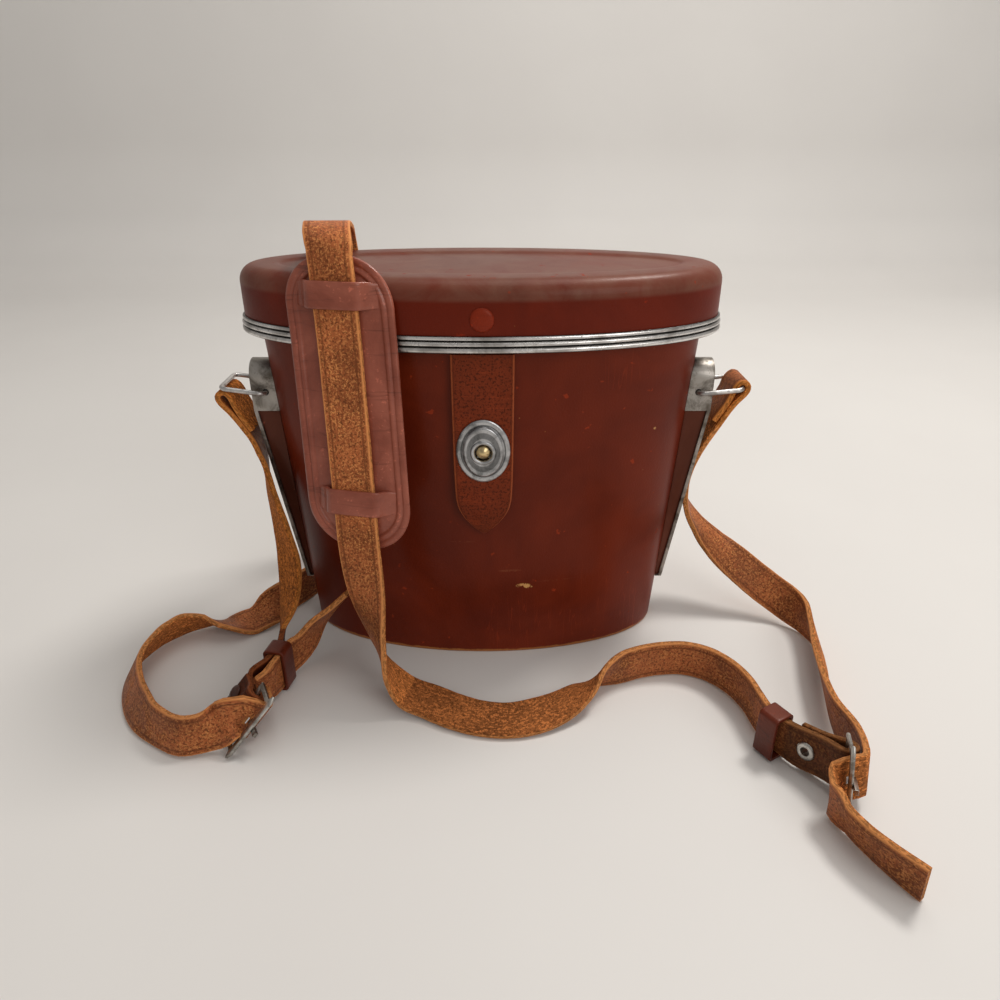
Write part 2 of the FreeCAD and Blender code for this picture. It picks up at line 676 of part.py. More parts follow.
def snap_pieces():
    """The catch plate on the tab, its spring, and the stud on the body."""
    gap = size.glue_gap
    base = TAB_FRONT + gap
    step = base + size.plate_base + size.plate_step
    top = step + size.collar_rise
    wide, tall = size.plate_step_wide / 2, size.plate_step_tall / 2
    bore = size.stud_head_radius + size.stud_clearance
    plate = oval(TAB_X, STUD_LEVEL, size.plate_wide / 2, size.plate_tall / 2, base, base + size.plate_base)
    plate = plate.fuse([oval(TAB_X, STUD_LEVEL, wide, tall, base, step),
                        bar_y(TAB_X, STUD_LEVEL, size.collar_radius, step - gap, top)])
    post_back = TAB_BACK - gap - size.backplate_thick
    plate = plate.fuse([bar_y(x, z, size.rivet_radius / 2, post_back, base + gap) for x, z in POSTS])
    hollow = oval(TAB_X, STUD_LEVEL, wide - size.plate_skin, tall - size.plate_skin, base - gap,
                  step - size.plate_skin)
    plate = plate.cut([hollow, bar_y(TAB_X, STUD_LEVEL, bore, base - size.overrun, top + size.overrun)])
    keep("catch_plate", formed("catch_plate", solid_of(plate)))
    back = oval(TAB_X, STUD_LEVEL, size.plate_wide / 2, size.plate_tall / 2,
                TAB_BACK - gap - size.backplate_thick, TAB_BACK - gap)
    back = back.cut([bar_y(TAB_X, STUD_LEVEL, bore, TAB_BACK - size.overrun, TAB_BACK)]
                    + [bar_y(x, z, size.rivet_radius / 2 + size.rivet_clearance, TAB_BACK - size.overrun,
                             TAB_BACK) for x, z in POSTS])
    keep("catch_backplate", formed("catch_backplate", solid_of(back)))
    wire_radius = size.spring_wire / 2
    reach = size.stud_neck_radius + gap + wire_radius
    out = base + gap + wire_radius
    leg = tall - size.plate_skin - reach - size.spring_wire
    start = Vector(TAB_X - reach, -out, STUD_LEVEL - leg)
    path = Part.Wire([
        Part.makeLine(start, Vector(TAB_X - reach, -out, STUD_LEVEL + leg)),
        Part.Arc(Vector(TAB_X - reach, -out, STUD_LEVEL + leg), Vector(TAB_X, -out, STUD_LEVEL + leg + reach),
                 Vector(TAB_X + reach, -out, STUD_LEVEL + leg)).toShape(),
        Part.makeLine(Vector(TAB_X + reach, -out, STUD_LEVEL + leg),
                      Vector(TAB_X + reach, -out, STUD_LEVEL - leg))])
    circle = Part.Wire(Part.makeCircle(wire_radius, start, Vector(0, 0, 1)))
    keep("catch_spring", formed("catch_spring", path.makePipeShell([circle], True, False)))
    escutcheon = bar_y(TAB_X, STUD_LEVEL, size.escutcheon_radius, WALL_FRONT - size.stud_neck_radius,
                       WALL_FRONT + size.plate_base)
    ring_hole = bar_y(TAB_X, STUD_LEVEL, size.stud_neck_radius + size.rivet_clearance, 0,
                      WALL_FRONT + size.overrun)
    clear = Part.makeBox(size.overrun * 4, size.overrun * 4, size.overrun * 4,
                         Vector(TAB_X - size.overrun * 2, -WALL_FRONT - gap, STUD_LEVEL - size.overrun * 2))
    keep("snap_escutcheon", formed("snap_escutcheon", solid_of(escutcheon.cut([ring_hole, clear]))))
    neck, head = size.stud_neck_radius, size.stud_head_radius
    tip = WALL_FRONT + size.stud_reach
    inside = WALL_FRONT - size.body_wall - gap
    under = tip - size.stud_dome - size.spring_wire * 1.25
    profile = [(0, inside - size.rivet_head_thick), (size.cap_radius / 2, inside - size.rivet_head_thick),
               (size.cap_radius / 2, inside),
               (neck, inside), (neck, under), (head, under + size.spring_wire), (head, tip - size.stud_dome)]
    for turn in (30, 60):
        angle = math.radians(turn)
        profile.append((head * math.cos(angle), tip - size.stud_dome * (1 - math.sin(angle))))
    keep("snap_stud", formed("snap_stud", turned(TAB_X, STUD_LEVEL, profile + [(0, tip)])))


# the strap brackets: one is worked out on the right, the other is its mirror image

def body_side(level):
    """The half width of the body at a height."""
    return size.base_half_width + (size.mouth_half_width - size.base_half_width) * level / size.mouth_height


LUG_TOP, LUG_BLOCK, LUG_HOLE = number(LUG_TOP_Z), number(LUG_BLOCK_Z), number(LUG_HOLE_Z)
LUG_OUT = body_side(LUG_BLOCK) + size.lug_reach
PIVOT_X = body_side(LUG_HOLE) + size.lug_hole_depth


def plate_line(level, inward):
    """The outside of the bracket's plate, moved inward."""
    low_out = body_side(size.lug_low) + size.lug_tip_reach
    share = (level - size.lug_low) / (LUG_BLOCK - size.lug_low)
    return low_out + (LUG_OUT - low_out) * min(share, 1.0) - inward


def side_prism(points):
    """A prism through the whole depth of the bracket from points (x, z)."""
    deep = size.lug_wide
    corners = [Vector(x, -deep, z) for x, z in points]
    return Part.Face(Part.makePolygon(corners + corners[:1])).extrude(Vector(0, 2 * deep, 0))


def front_prism(margin, top):
    """The bracket's outline seen from the side, as a prism along X, tapered to the tip and round on top."""
    half, tip = size.lug_wide / 2 - margin, size.lug_tip_wide / 2 - margin
    centre = top - half
    corners = [Vector(0, half, centre), Vector(0, half, LUG_BLOCK), Vector(0, tip, size.lug_low),
               Vector(0, -tip, size.lug_low), Vector(0, -half, LUG_BLOCK), Vector(0, -half, centre)]
    edges = [Part.makeLine(a, b) for a, b in zip(corners, corners[1:])]
    edges.append(Part.Arc(corners[-1], Vector(0, 0, top), corners[0]).toShape())
    return Part.Face(Part.Wire(edges)).extrude(Vector(LUG_OUT + size.overrun, 0, 0))


def grown_body(extra):
    """The body's outside, grown by a clearance."""
    sections = []
    for level in (-size.overrun, size.mouth_height + size.overrun):
        wide = body_side(level) + extra
        flare = (size.mouth_half_depth - size.base_half_depth) * level / size.mouth_height
        deep = size.base_half_depth + flare + extra
        sections.append(Part.Wire(Part.Ellipse(Vector(0, 0, level), wide, deep).toShape()))
    return Part.makeLoft(sections, True, True)


def bar_x(radius, start, end, level):
    return Part.makeCylinder(radius, end - start, Vector(start, 0, level), Vector(1, 0, 0))


def lug_pieces():
    gap = size.glue_gap
    body = grown_body(2 * gap)
    low, high, block = size.lug_low, LUG_TOP, LUG_BLOCK
    outside = side_prism([(low, low), (plate_line(low, 0), low), (plate_line(block, 0), block),
                          (LUG_OUT, high), (low, high)])
    bracket = outside.common(front_prism(0, high))
    margin = size.inlay_margin / 2
    skin = size.lug_skin
    pocket = side_prism([(low, low + margin - gap),
                         (plate_line(low + margin, skin - gap), low + margin - gap),
                         (plate_line(block, skin - gap), block - gap), (low, block - gap)])
    rivets, holes = [], []
    for text in LUG_RIVETS_Z:
        level = number(text)
        end = plate_line(level, skin / 2) if level < block else body_side(level) + size.lug_hole_depth * 2
        head = size.rivet_head_radius
        bend = math.sqrt(1 - (head / (size.base_half_depth - size.body_wall)) ** 2)
        inner = (body_side(level - head) - size.body_wall) * bend - gap
        rivets.append(bar_x(size.rivet_radius, inner - size.rivet_head_thick, end, level).fuse(
            bar_x(size.rivet_head_radius, inner - size.rivet_head_thick, inner - gap, level)))
        holes.append(bar_x(size.rivet_radius + size.rivet_clearance, 0, end + gap, level))
    pivot = Part.makeCylinder(size.lug_hole_radius, 2 * size.lug_wide,
                              Vector(PIVOT_X, -size.lug_wide, LUG_HOLE), Vector(0, 1, 0))
    bracket = bracket.cut([body, pocket, pivot] + holes)
    inlay = side_prism([(low, low + margin), (plate_line(low + margin, skin), low + margin),
                        (plate_line(block, skin), block - 2 * gap), (low, block - 2 * gap)])
    inlay = inlay.common(front_prism(size.inlay_margin, high)).cut([body] + holes)
    for side, turn in (("right", lambda shape: shape), ("left", mirrored)):
        keep(side + "_lug_bracket", formed(side + "_lug_bracket", turn(solid_of(bracket))))
        keep(side + "_lug_inlay", formed(side + "_lug_inlay", turn(solid_of(inlay))))
        keep(side + "_lug_rivets", formed(side + "_lug_rivets", turn(Part.makeCompound(rivets))))


def loop_shape(tilt):
    """A closed wire loop on the right bracket, tilted up about its pivot."""
    reach, half, bend = size.loop_long, size.loop_half_wide, size.loop_bend
    turn = math.radians(tilt)
    pivot = Vector(PIVOT_X, 0, LUG_HOLE)

    def at(out, along):
        return pivot + Vector(out * math.cos(turn), along, out * math.sin(turn))

    corners = [(0, -1), (0, 1), (1, 1), (1, -1)]
    edges = []
    for index, (out, along) in enumerate(corners):
        corner = (out * reach, along * half)
        after = (corners[(index + 1) % 4][0] * reach, corners[(index + 1) % 4][1] * half)
        before = (corners[index - 1][0] * reach, corners[index - 1][1] * half)

        def towards(other, distance):
            span = math.hypot(other[0] - corner[0], other[1] - corner[1])
            return tuple(c + (o - c) / span * distance for c, o in zip(corner, other))

        first, last = towards(before, bend), towards(after, bend)
        share = 1 - math.sqrt(0.5)
        middle = tuple(c + (a - c) * share + (b - c) * share for c, a, b in zip(corner, first, last))
        edges.append(Part.Arc(at(*first), at(*middle), at(*last)).toShape())
        span = math.hypot(after[0] - corner[0], after[1] - corner[1])
        edges.append(Part.makeLine(at(*last), at(*towards(after, span - bend))))
    circle = Part.Wire(Part.makeCircle(size.loop_wire, edges[1].Vertexes[0].Point, edges[1].Curve.Direction))
    ordered = edges[1:] + edges[:1]
    return Part.Wire(ordered).makePipeShell([circle], True, True)


def loop_bar(tilt):
    """The middle of the loop's outer bar on the right side."""
    turn = math.radians(tilt)
    return Vector(PIVOT_X + size.loop_long * math.cos(turn), 0, LUG_HOLE + size.loop_long * math.sin(turn))


def loops():
    keep("right_loop", formed("right_loop", loop_shape(size.right_loop_tilt)))
    keep("left_loop", formed("left_loop", mirrored(loop_shape(size.left_loop_tilt))))


# straps: tables hold places as shares of the mouth's half width, half depth and height,
# then the direction of the width

TAIL_SHARES = [
    (-0.6257, -1.0423, 0.2329, 0.02, 0.92, -0.38),
    (-0.6997, -1.0845, 0.1918, 0.02, 0.9, -0.42),
    (-0.785, -1.1549, 0.1438, 0.08, 0.78, -0.62),
    (-0.8623, -1.2958, 0.0808, 0.1, 0.3, -0.95),
]
BOW_SHARES = [
    (-1.1092, -2.6085, 0.0699, -0.6, -0.3, -0.74),
    (-1.2287, -2.6648, 0.0616, -0.3, -0.15, -0.94),
    (-1.3675, -2.4958, 0.0581, -0.1, -0.29, -0.95),
    (-1.4733, -2.2592, 0.0542, -0.25, -0.47, -0.85),
    (-1.5586, -1.9718, 0.054, -0.4, -0.36, -0.84),
    (-1.6223, -1.5915, 0.0548, -0.5, -0.08, -0.86),
    (-1.6314, -1.2113, 0.0532, -0.48, 0.3, -0.82),
    (-1.5904, -0.8901, 0.0525, -0.2, 0.55, -0.81),
    (-1.5176, -0.693, 0.0536, 0, 0.55, -0.83),
    (-1.4243, -0.6141, 0.05, 0.02, 0.66, -0.75),
    (-1.3254, -0.5972, 0.0355, 0.05, 0.89, -0.45),
    (-1.215, -0.4394, 0.0182, 0.15, 0.98, 0.12),
    (-1.0808, -0.1408, 0.0545, 0.15, 0.5, 0.85),
]
BACK_SHARES = [
    (-0.9784, 0.2254, 0.0575, 0, 0.12, 1),
    (-0.876, 0.7324, 0.0582, 0, 0, 1),
    (-0.7964, 1.1268, 0.0678, 0.1, -0.2, 0.97),
    (-0.7509, 1.4085, 0.1438, 0.3, -0.55, 0.8),
    (-0.7452, 1.5211, 0.3082, 0.7, -0.7, 0.1),
    (-0.7395, 1.493, 0.5479, 0.93, -0.3, 0),
]
BEND_SHARES = [
    (-0.7304, 1.4451, 0.7671, 1, 0, 0),
    (-0.7235, 1.4225, 0.8897, 1, 0, 0),
]
OVER_SHARES = [
    (-0.7167, 1.4085, 0.9658, 1, 0, 0),
    (-0.7167, 1.3521, 1.0212, 1, 0, 0),
    (-0.7144, 1.2113, 1.0788, 1, 0, 0),
    (-0.6985, 0.9014, 1.1233, 1, 0.1, 0),
    (-0.6701, 0.4789, 1.1562, 1, 0.15, 0),
    (-0.6394, 0, 1.1842, 1, 0.12, 0),
    (-0.6143, -0.4789, 1.2048, 1, 0.05, 0),
    (-0.595, -0.7606, 1.2082, 1, -0.05, 0),
    (-0.5802, -0.9521, 1.1959, 1, -0.1, 0),
    (-0.5688, -1.0479, 1.1733, 1, -0.15, 0),
]
DROP_SHARES = [
    (-0.498, -1.704, 0.356, 0.93, -0.37, 0),
    (-0.466, -1.775, 0.212, 0.55, -0.83, 0),
    (-0.41, -1.873, 0.099, 0.1, -0.99, 0),
]
RUN_SHARES = [
    (-0.336, -1.91, 0.042, -0.25, -0.96, -0.05),
    (-0.228, -1.986, 0.025, -0.4, -0.9, -0.12),
    (-0.125, -2.113, 0.021, -0.35, -0.92, -0.13),
    (0.014, -2.223, 0.018, -0.1, -0.98, -0.13),
    (0.137, -2.242, 0.018, 0.1, -0.98, -0.13),
    (0.25, -2.18, 0.021, 0.3, -0.95, -0.12),
    (0.365, -2.037, 0.027, 0.45, -0.88, 0.1),
    (0.458, -1.868, 0.041, 0.45, -0.78, 0.45),
    (0.546, -1.704, 0.055, 0.2, -0.4, 0.9),
    (0.648, -1.566, 0.058, 0, -0.05, 1),
    (0.751, -1.459, 0.058, 0, 0, 1),
    (0.853, -1.403, 0.058, 0, 0, 1),
    (0.951, -1.397, 0.058, 0, 0, 1),
    (1.047, -1.487, 0.058, 0, 0, 1),
    (1.126, -1.701, 0.06, 0, 0, 1),
    (1.179, -2.017, 0.063, 0, 0, 1),
    (1.193, -2.31, 0.066, 0, 0, 1),
]
# the hanging parts: out from the body as shares of the bracket's reach, shares of the mouth's half depth
# and of the height of the bracket's hole, then the direction of the width
LEFT_HANG_SHARES = [
    (1.154, -0.141, 0.7366, -0.25, 0.97, 0),
    (0.756, -0.394, 0.6132, -0.45, 0.9, 0),
    (0.357, -0.606, 0.4911, -0.6, 0.8, 0),
    (0.172, -0.732, 0.3823, -0.7, 0.7, 0),
    (0.339, -0.887, 0.2363, -0.6, 0.62, -0.4),
    (0.652, -1.155, 0.1274, -0.25, 0.3, -0.92),
]
RIGHT_HANG_SHARES = [
    (1.154, 0.127, 0.7725, 0, 1, 0),
    (0.998, 0.254, 0.6636, 0.05, 1, 0),
    (1.037, 0.352, 0.5548, 0.05, 1, 0),
    (1.367, 0.38, 0.4499, 0.1, 0.98, 0.1),
    (2.133, 0.31, 0.3597, 0.1, 0.93, 0.3),
]
RIGHT_RUN_SHARES = [
    (1.229, 0.177, 0.216, 0, 0.82, 0.55),
    (1.342, 0.028, 0.164, 0.05, 0.66, 0.75),
    (1.479, -0.155, 0.106, 0.2, 0.5, 0.82),
    (1.578, -0.338, 0.075, 0.3, 0.3, 0.9),
    (1.634, -0.592, 0.062, 0, 0.1, 0.98),
    (1.642, -0.93, 0.06, -0.35, 0, 0.93),
    (1.604, -1.352, 0.06, -0.45, 0, 0.89),
    (1.545, -1.915, 0.064, -0.3, 0.1, 0.95),
    (1.511, -2.423, 0.07, -0.15, 0.25, 0.95),
]
RIGHT_TAIL_SHARES = [
    (1.348, -3.69, 0.062, -0.35, 0.2, 0.92),
    (1.388, -3.915, 0.06, -0.4, 0.15, 0.9),
    (1.445, -4.141, 0.059, -0.4, 0.2, 0.9),
    (1.502, -4.338, 0.059, -0.4, 0.3, 0.88),
]

# the origin of each buckle's heel bar, the direction along the bar, and towards the far bar
LEFT_BUCKLE_SHARES = (-1.009, -2.338, 0.0774, 0.62, 0.31, 0.72, 0.45, -0.89, 0)
RIGHT_BUCKLE_SHARES = (1.422, -3.163, 0.0877, -0.05, 0.2, 0.978, -0.3, -0.876, 0.377)
RIGHT_ARRIVAL_SHARES = (0.62, -0.77, 0.19)
# the middle of each keeper, and the strap's direction there
LEFT_KEEPER_SHARES = (-0.959, -1.561, 0.0671, 0.18, 0.98, 0)
RIGHT_KEEPER_SHARES = (1.229, -2.606, 0.0671, -0.5, 0.86, 0)
# a strap's way through a buckle, as shares of the buckle's depth
THREAD_SHARES = [(0, -0.85, 0.6), (0, -0.4, 0.6), (0, 0.05, 0.54), (0.02, 0.44, 0.4), (0.03, 0.53, 0),
                 (0.03, 0.55, -0.42)]
RIGHT_THREAD_SHARES = [(0.14, -0.82, 0.42), (0.05, -0.18, 0.5), (0, 0.36, 0.45), (0, 0.63, 0),
                       (-0.18, 0.77, -0.31),
                       (-0.36, 1.09, -0.47)]


def place(x, y, z):
    """A place from shares of the mouth's half width and half depth and the mouth's height."""
    return Vector(x * size.mouth_half_width, y * size.mouth_half_depth, z * size.mouth_height)


def spot_place(row):
    return [share * size.buckle_deep for share in row]


def route(rows):
    """Stations (place, direction of the width) from a table of shares."""
    return [(place(*row[:3]), Vector(*row[3:])) for row in rows]


def smooth(stations):
    """Sections along a curve through the stations, each a place, a width direction and a face direction."""
    count = len(stations)
    spans = [(stations[i + 1][0] - stations[i][0]).Length for i in range(count - 1)]

    def slope(which, index):
        values = [station[which] for station in stations]
        if index == 0:
            return (values[1] - values[0]) * (1 / spans[0])
        if index == count - 1:
            return (values[-1] - values[-2]) * (1 / spans[-1])
        back, ahead = spans[index - 1], spans[index]
        before = (values[index] - values[index - 1]) * (ahead / back)
        after = (values[index + 1] - values[index]) * (back / ahead)
        return (before + after) * (1 / (back + ahead))

    sections, marks = [], []
    for index in range(count - 1):
        steps = max(1, round(spans[index] / size.strap_step))
        marks.append(len(sections))
        for step in range(steps):
            t = step / steps
            h = (2 * t**3 - 3 * t**2 + 1, t**3 - 2 * t**2 + t, 3 * t**2 - 2 * t**3, t**3 - t**2)
            h_slope = (6 * t**2 - 6 * t, 3 * t**2 - 4 * t + 1, 6 * t - 6 * t**2, 3 * t**2 - 2 * t)

            def blend(which, weights):
                return (stations[index][which] * weights[0]
                        + slope(which, index) * (weights[1] * spans[index])
                        + stations[index + 1][which] * weights[2]
                        + slope(which, index + 1) * (weights[3] * spans[index]))

            sections.append((blend(0, h), blend(1, h), blend(0, h_slope)))
    marks.append(len(sections))
    sections.append((stations[-1][0], stations[-1][1], stations[-1][0] - stations[-2][0]))
    framed = []
    for point, side, along in sections:
        along = Vector(along).normalize()
        side = (side - along * side.dot(along)).normalize()
        framed.append((point, side, along.cross(side)))
    return framed, marks


def ribbon(sections, thick, widths=None):
    """A strap ruled through rectangles."""
    wires = []
    for index, (point, side, face) in enumerate(sections):
        half = (widths[index] if widths else size.strap_wide) / 2
        corners = [point + side * (a * half) + face * (b * thick / 2) for a,
                   b in ((-1, -1), (1, -1), (1, 1), (-1, 1))]
        wires.append(Part.makePolygon(corners + corners[:1]))
    return Part.makeLoft(wires, True, True)


class Spot:
    """A local set of axes: across, along, and out of the plane of both."""

    def __init__(self, origin, across, along):
        self.origin = origin
        self.across = Vector(across).normalize()
        self.out = self.across.cross(Vector(along)).normalize()
        self.along = self.out.cross(self.across)

    def at(self, x, y, z):
        return self.origin + self.across * x + self.along * y + self.out * z

    def block(self, low, high):
        size_of = [b - a for a, b in zip(low, high)]
        shape = Part.makeBox(*size_of, Vector(*low))
        shape.Placement = Placement(self.origin, Rotation(self.across, self.along, self.out, "ZXY"))
        return shape

    def post(self, radius, x, y, low, high):
        return Part.makeCylinder(radius, high - low, self.at(x, y, low), self.out)


FOLD_SHARES = [(1.0, 0.0), (0.5, 0.0), (0.3, 0.35), (0.15, 0.9)]


def fold(bar, along, side, mid, lead):
    """Stations of a strap that arrives along a direction, goes round a bar and comes back beside itself."""
    along = (along - side * along.dot(side)).normalize()
    face = along.cross(side)
    closed = size.fold_closed
    opening = mid - closed
    stations = []
    for share, spread in FOLD_SHARES:
        stations.append((bar - along * (lead * share) + face * (closed + opening * spread), side))
    for turn in (0, 45, 90, 135, 180):
        angle = math.radians(turn)
        stations.append((bar + face * (mid * math.cos(angle)) + along * (mid * math.sin(angle)), side))
    for share, spread in reversed(FOLD_SHARES):
        stations.append((bar - along * (lead * share) - face * (closed + opening * spread), side))
    return stations, face



# the shoulder pad

def pad_line(level):
    """The middle of the pad's thickness at a height, the direction of its width, and its outward face."""
    yaw = math.radians(size.pad_yaw)
    slant = math.tan(yaw)
    wide, deep = number(LID_WIDTH) + size.trim_proud, LID_FRONT + size.trim_proud
    x = -size.pad_centre + size.pad_drift * (size.pad_high - level)
    y = -math.hypot(deep, wide * slant) - slant * x - size.pad_clear
    bend = number(TRIM_TOP) - size.trim_tall / 2
    slope = size.pad_slope_high if level > bend else size.pad_slope_low
    y += slope * (level - bend)
    side = Vector(math.cos(yaw), -math.sin(yaw), 0)
    down = Vector(0, -slope, -1).normalize()
    face = down.cross(side).normalize()
    return Vector(x, y, level) + face * (size.pad_thick / 2), side, face


PAD_END_SHARES = [(0.0, 0.62), (0.06, 0.76), (0.16, 0.88), (0.3, 0.96), (0.5, 1.0)]


PAD_LEVEL_SHARES = [0.125, 0.2, 0.25, 0.29, 0.33, 0.4, 0.6, 0.8, 0.85]


def shoulder_pad():
    tall = size.pad_high - size.pad_low
    half = size.pad_wide / 2
    levels = [size.pad_high - share * half for share, wide in PAD_END_SHARES]
    levels += [size.pad_high - tall * share for share in PAD_LEVEL_SHARES]
    levels += [size.pad_low + share * half for share, wide in reversed(PAD_END_SHARES)]
    stations = [pad_line(level)[:2] for level in levels]
    sections, marks = smooth(stations)
    widths = []
    for point, side, face in sections:
        inset = min(size.pad_high - point.z, point.z - size.pad_low) / half
        wide = 1.0
        for (a, first), (b, last) in zip(PAD_END_SHARES, PAD_END_SHARES[1:]):
            if a - 0.01 <= inset < b:
                wide = first + (last - first) * (inset - a) / (b - a)
        widths.append(size.pad_wide * wide)
    pad = ribbon(sections, size.pad_thick, widths)
    gap = size.strap_gap
    inner = size.strap_wide / 2 + gap
    for level in (size.bridge_low, size.bridge_high):
        middle, side, face = pad_line(level)
        spot = Spot(middle, side, side.cross(face))
        outward = 1 if spot.out.dot(face) > 0 else -1
        low = size.pad_thick / 2 - size.glue_gap
        high = size.pad_thick / 2 + size.strap_thick + 2 * gap
        long = size.bridge_long / 2
        outer = spot_block(spot, outward, inner + size.bridge_side, long, low, high + size.bridge_thick)
        pad = pad.fuse(outer.cut(spot_block(spot, outward, inner, long + size.overrun, low + size.glue_gap,
                                            high)))
    keep("shoulder_pad", formed("shoulder_pad", solid_of(pad.removeSplitter())))


def spot_block(spot, outward, half_wide, half_long, low, high):
    """A block on a spot's middle, between two heights on its outward side."""
    z = sorted((outward * low, outward * high))
    return spot.block((-half_wide, -half_long, z[0]), (half_wide, half_long, z[1]))


# the buckles

LEFT_SPOT = Spot(place(*LEFT_BUCKLE_SHARES[:3]), Vector(*LEFT_BUCKLE_SHARES[3:6]),
                 Vector(*LEFT_BUCKLE_SHARES[6:]))
RIGHT_SPOT = Spot(place(*RIGHT_BUCKLE_SHARES[:3]), Vector(*RIGHT_BUCKLE_SHARES[3:6]),
                  Vector(*RIGHT_BUCKLE_SHARES[6:]))
ARRIVAL = Vector(*RIGHT_ARRIVAL_SHARES)


def buckle(name, spot):
    """A flat frame with pointed wings on its far bar, and a prong round the heel bar."""
    half, deep = size.buckle_wide / 2, size.buckle_deep
    heel, far, thick = size.heel_bar / 2, size.far_bar / 2, size.buckle_metal / 2
    outline = [(-half, -heel), (half, -heel), (half, deep - far), (size.wing_reach, deep), (half, deep + far),
               (-half, deep + far), (-size.wing_reach, deep), (-half, deep - far)]
    corners = [spot.at(x, y, -thick) for x, y in outline]
    frame = Part.Face(Part.makePolygon(corners + corners[:1])).extrude(spot.out * (2 * thick))
    inner = half - size.buckle_side
    frame = frame.cut(spot.block((-inner, heel, -size.overrun), (inner, deep - far, size.overrun)))
    keep(name + "_buckle_frame", formed(name + "_buckle_frame", solid_of(frame)))
    wide, gap = size.prong_wide / 2, 2 * size.glue_gap
    bore = math.hypot(heel, thick) + size.glue_gap
    outer = bore + size.buckle_metal / 2
    start, width = spot.at(-wide, 0, 0), 2 * wide
    prong = Part.makeCylinder(outer, width, start, spot.across).fuse(
        spot.block((-wide, bore, thick + gap), (wide, deep + far + size.prong_over,
                                                thick + gap + size.prong_thick)))
    prong = prong.cut(Part.makeCylinder(bore, width, start, spot.across))
    keep(name + "_buckle_prong", formed(name + "_buckle_prong", solid_of(prong)))


def fold_slot(spot):
    """Room for the prong in the strap that goes round the heel bar."""
    wide = size.prong_wide / 2 + size.strap_gap
    reach = size.fold_mid + size.strap_thick / 2 + size.strap_gap
    return Part.makeCylinder(reach, 2 * wide, spot.at(-wide, 0, 0), spot.across)


def prong_slot(spot):
    """The hole in the other strap that the prong goes through."""
    wide, gap = size.prong_wide / 2 + size.strap_gap, size.strap_gap
    thick = size.buckle_metal / 2
    return spot.block((-wide, size.heel_bar, thick - gap / 2),
                      (wide, 2 * size.buckle_deep, thick + size.prong_thick + 2 * gap))


def keeper(name, spot, low, high):
    """A leather loop round the strap, open from low to high on the spot's out side."""
    gap, thick, long = size.keeper_gap, size.keeper_thick, size.keeper_long / 2
    half = size.strap_wide / 2 + gap
    outer = spot.block((-half - thick, -long, low - gap - thick), (half + thick, long, high + gap + thick))
    inner = spot.block((-half, -long - size.overrun, low - gap), (half, long + size.overrun, high + gap))
    keep(name, formed(name, outer.cut(inner)))


def through(spot, out, sign):
    """Two stations straight through a keeper, towards the buckle."""
    half = size.keeper_long / 2
    return [(spot.at(0, y, out), spot.across * sign) for y in (half, -half)]


def lug_strap(side, bar, hang_rows, width):
    """Stations of a strap folded over a loop's bar and going down to its first free place."""
    sign = 1 if side == "right" else -1
    up = Vector(sign * math.sin(math.radians(size.fold_lean)), 0, math.cos(math.radians(size.fold_lean)))
    stations = fold(bar, up, Vector(0, -sign, 0), size.loop_fold_mid, size.fold_long)[0]
    stations = [(spot, width) for spot, _ in reversed(stations)]
    for out, deep, share, *wide in hang_rows:
        level = share * LUG_HOLE
        spot = Vector(sign * (body_side(level) + out * size.lug_reach), deep * size.mouth_half_depth, level)
        stations.append((spot, Vector(*wide)))
    return stations


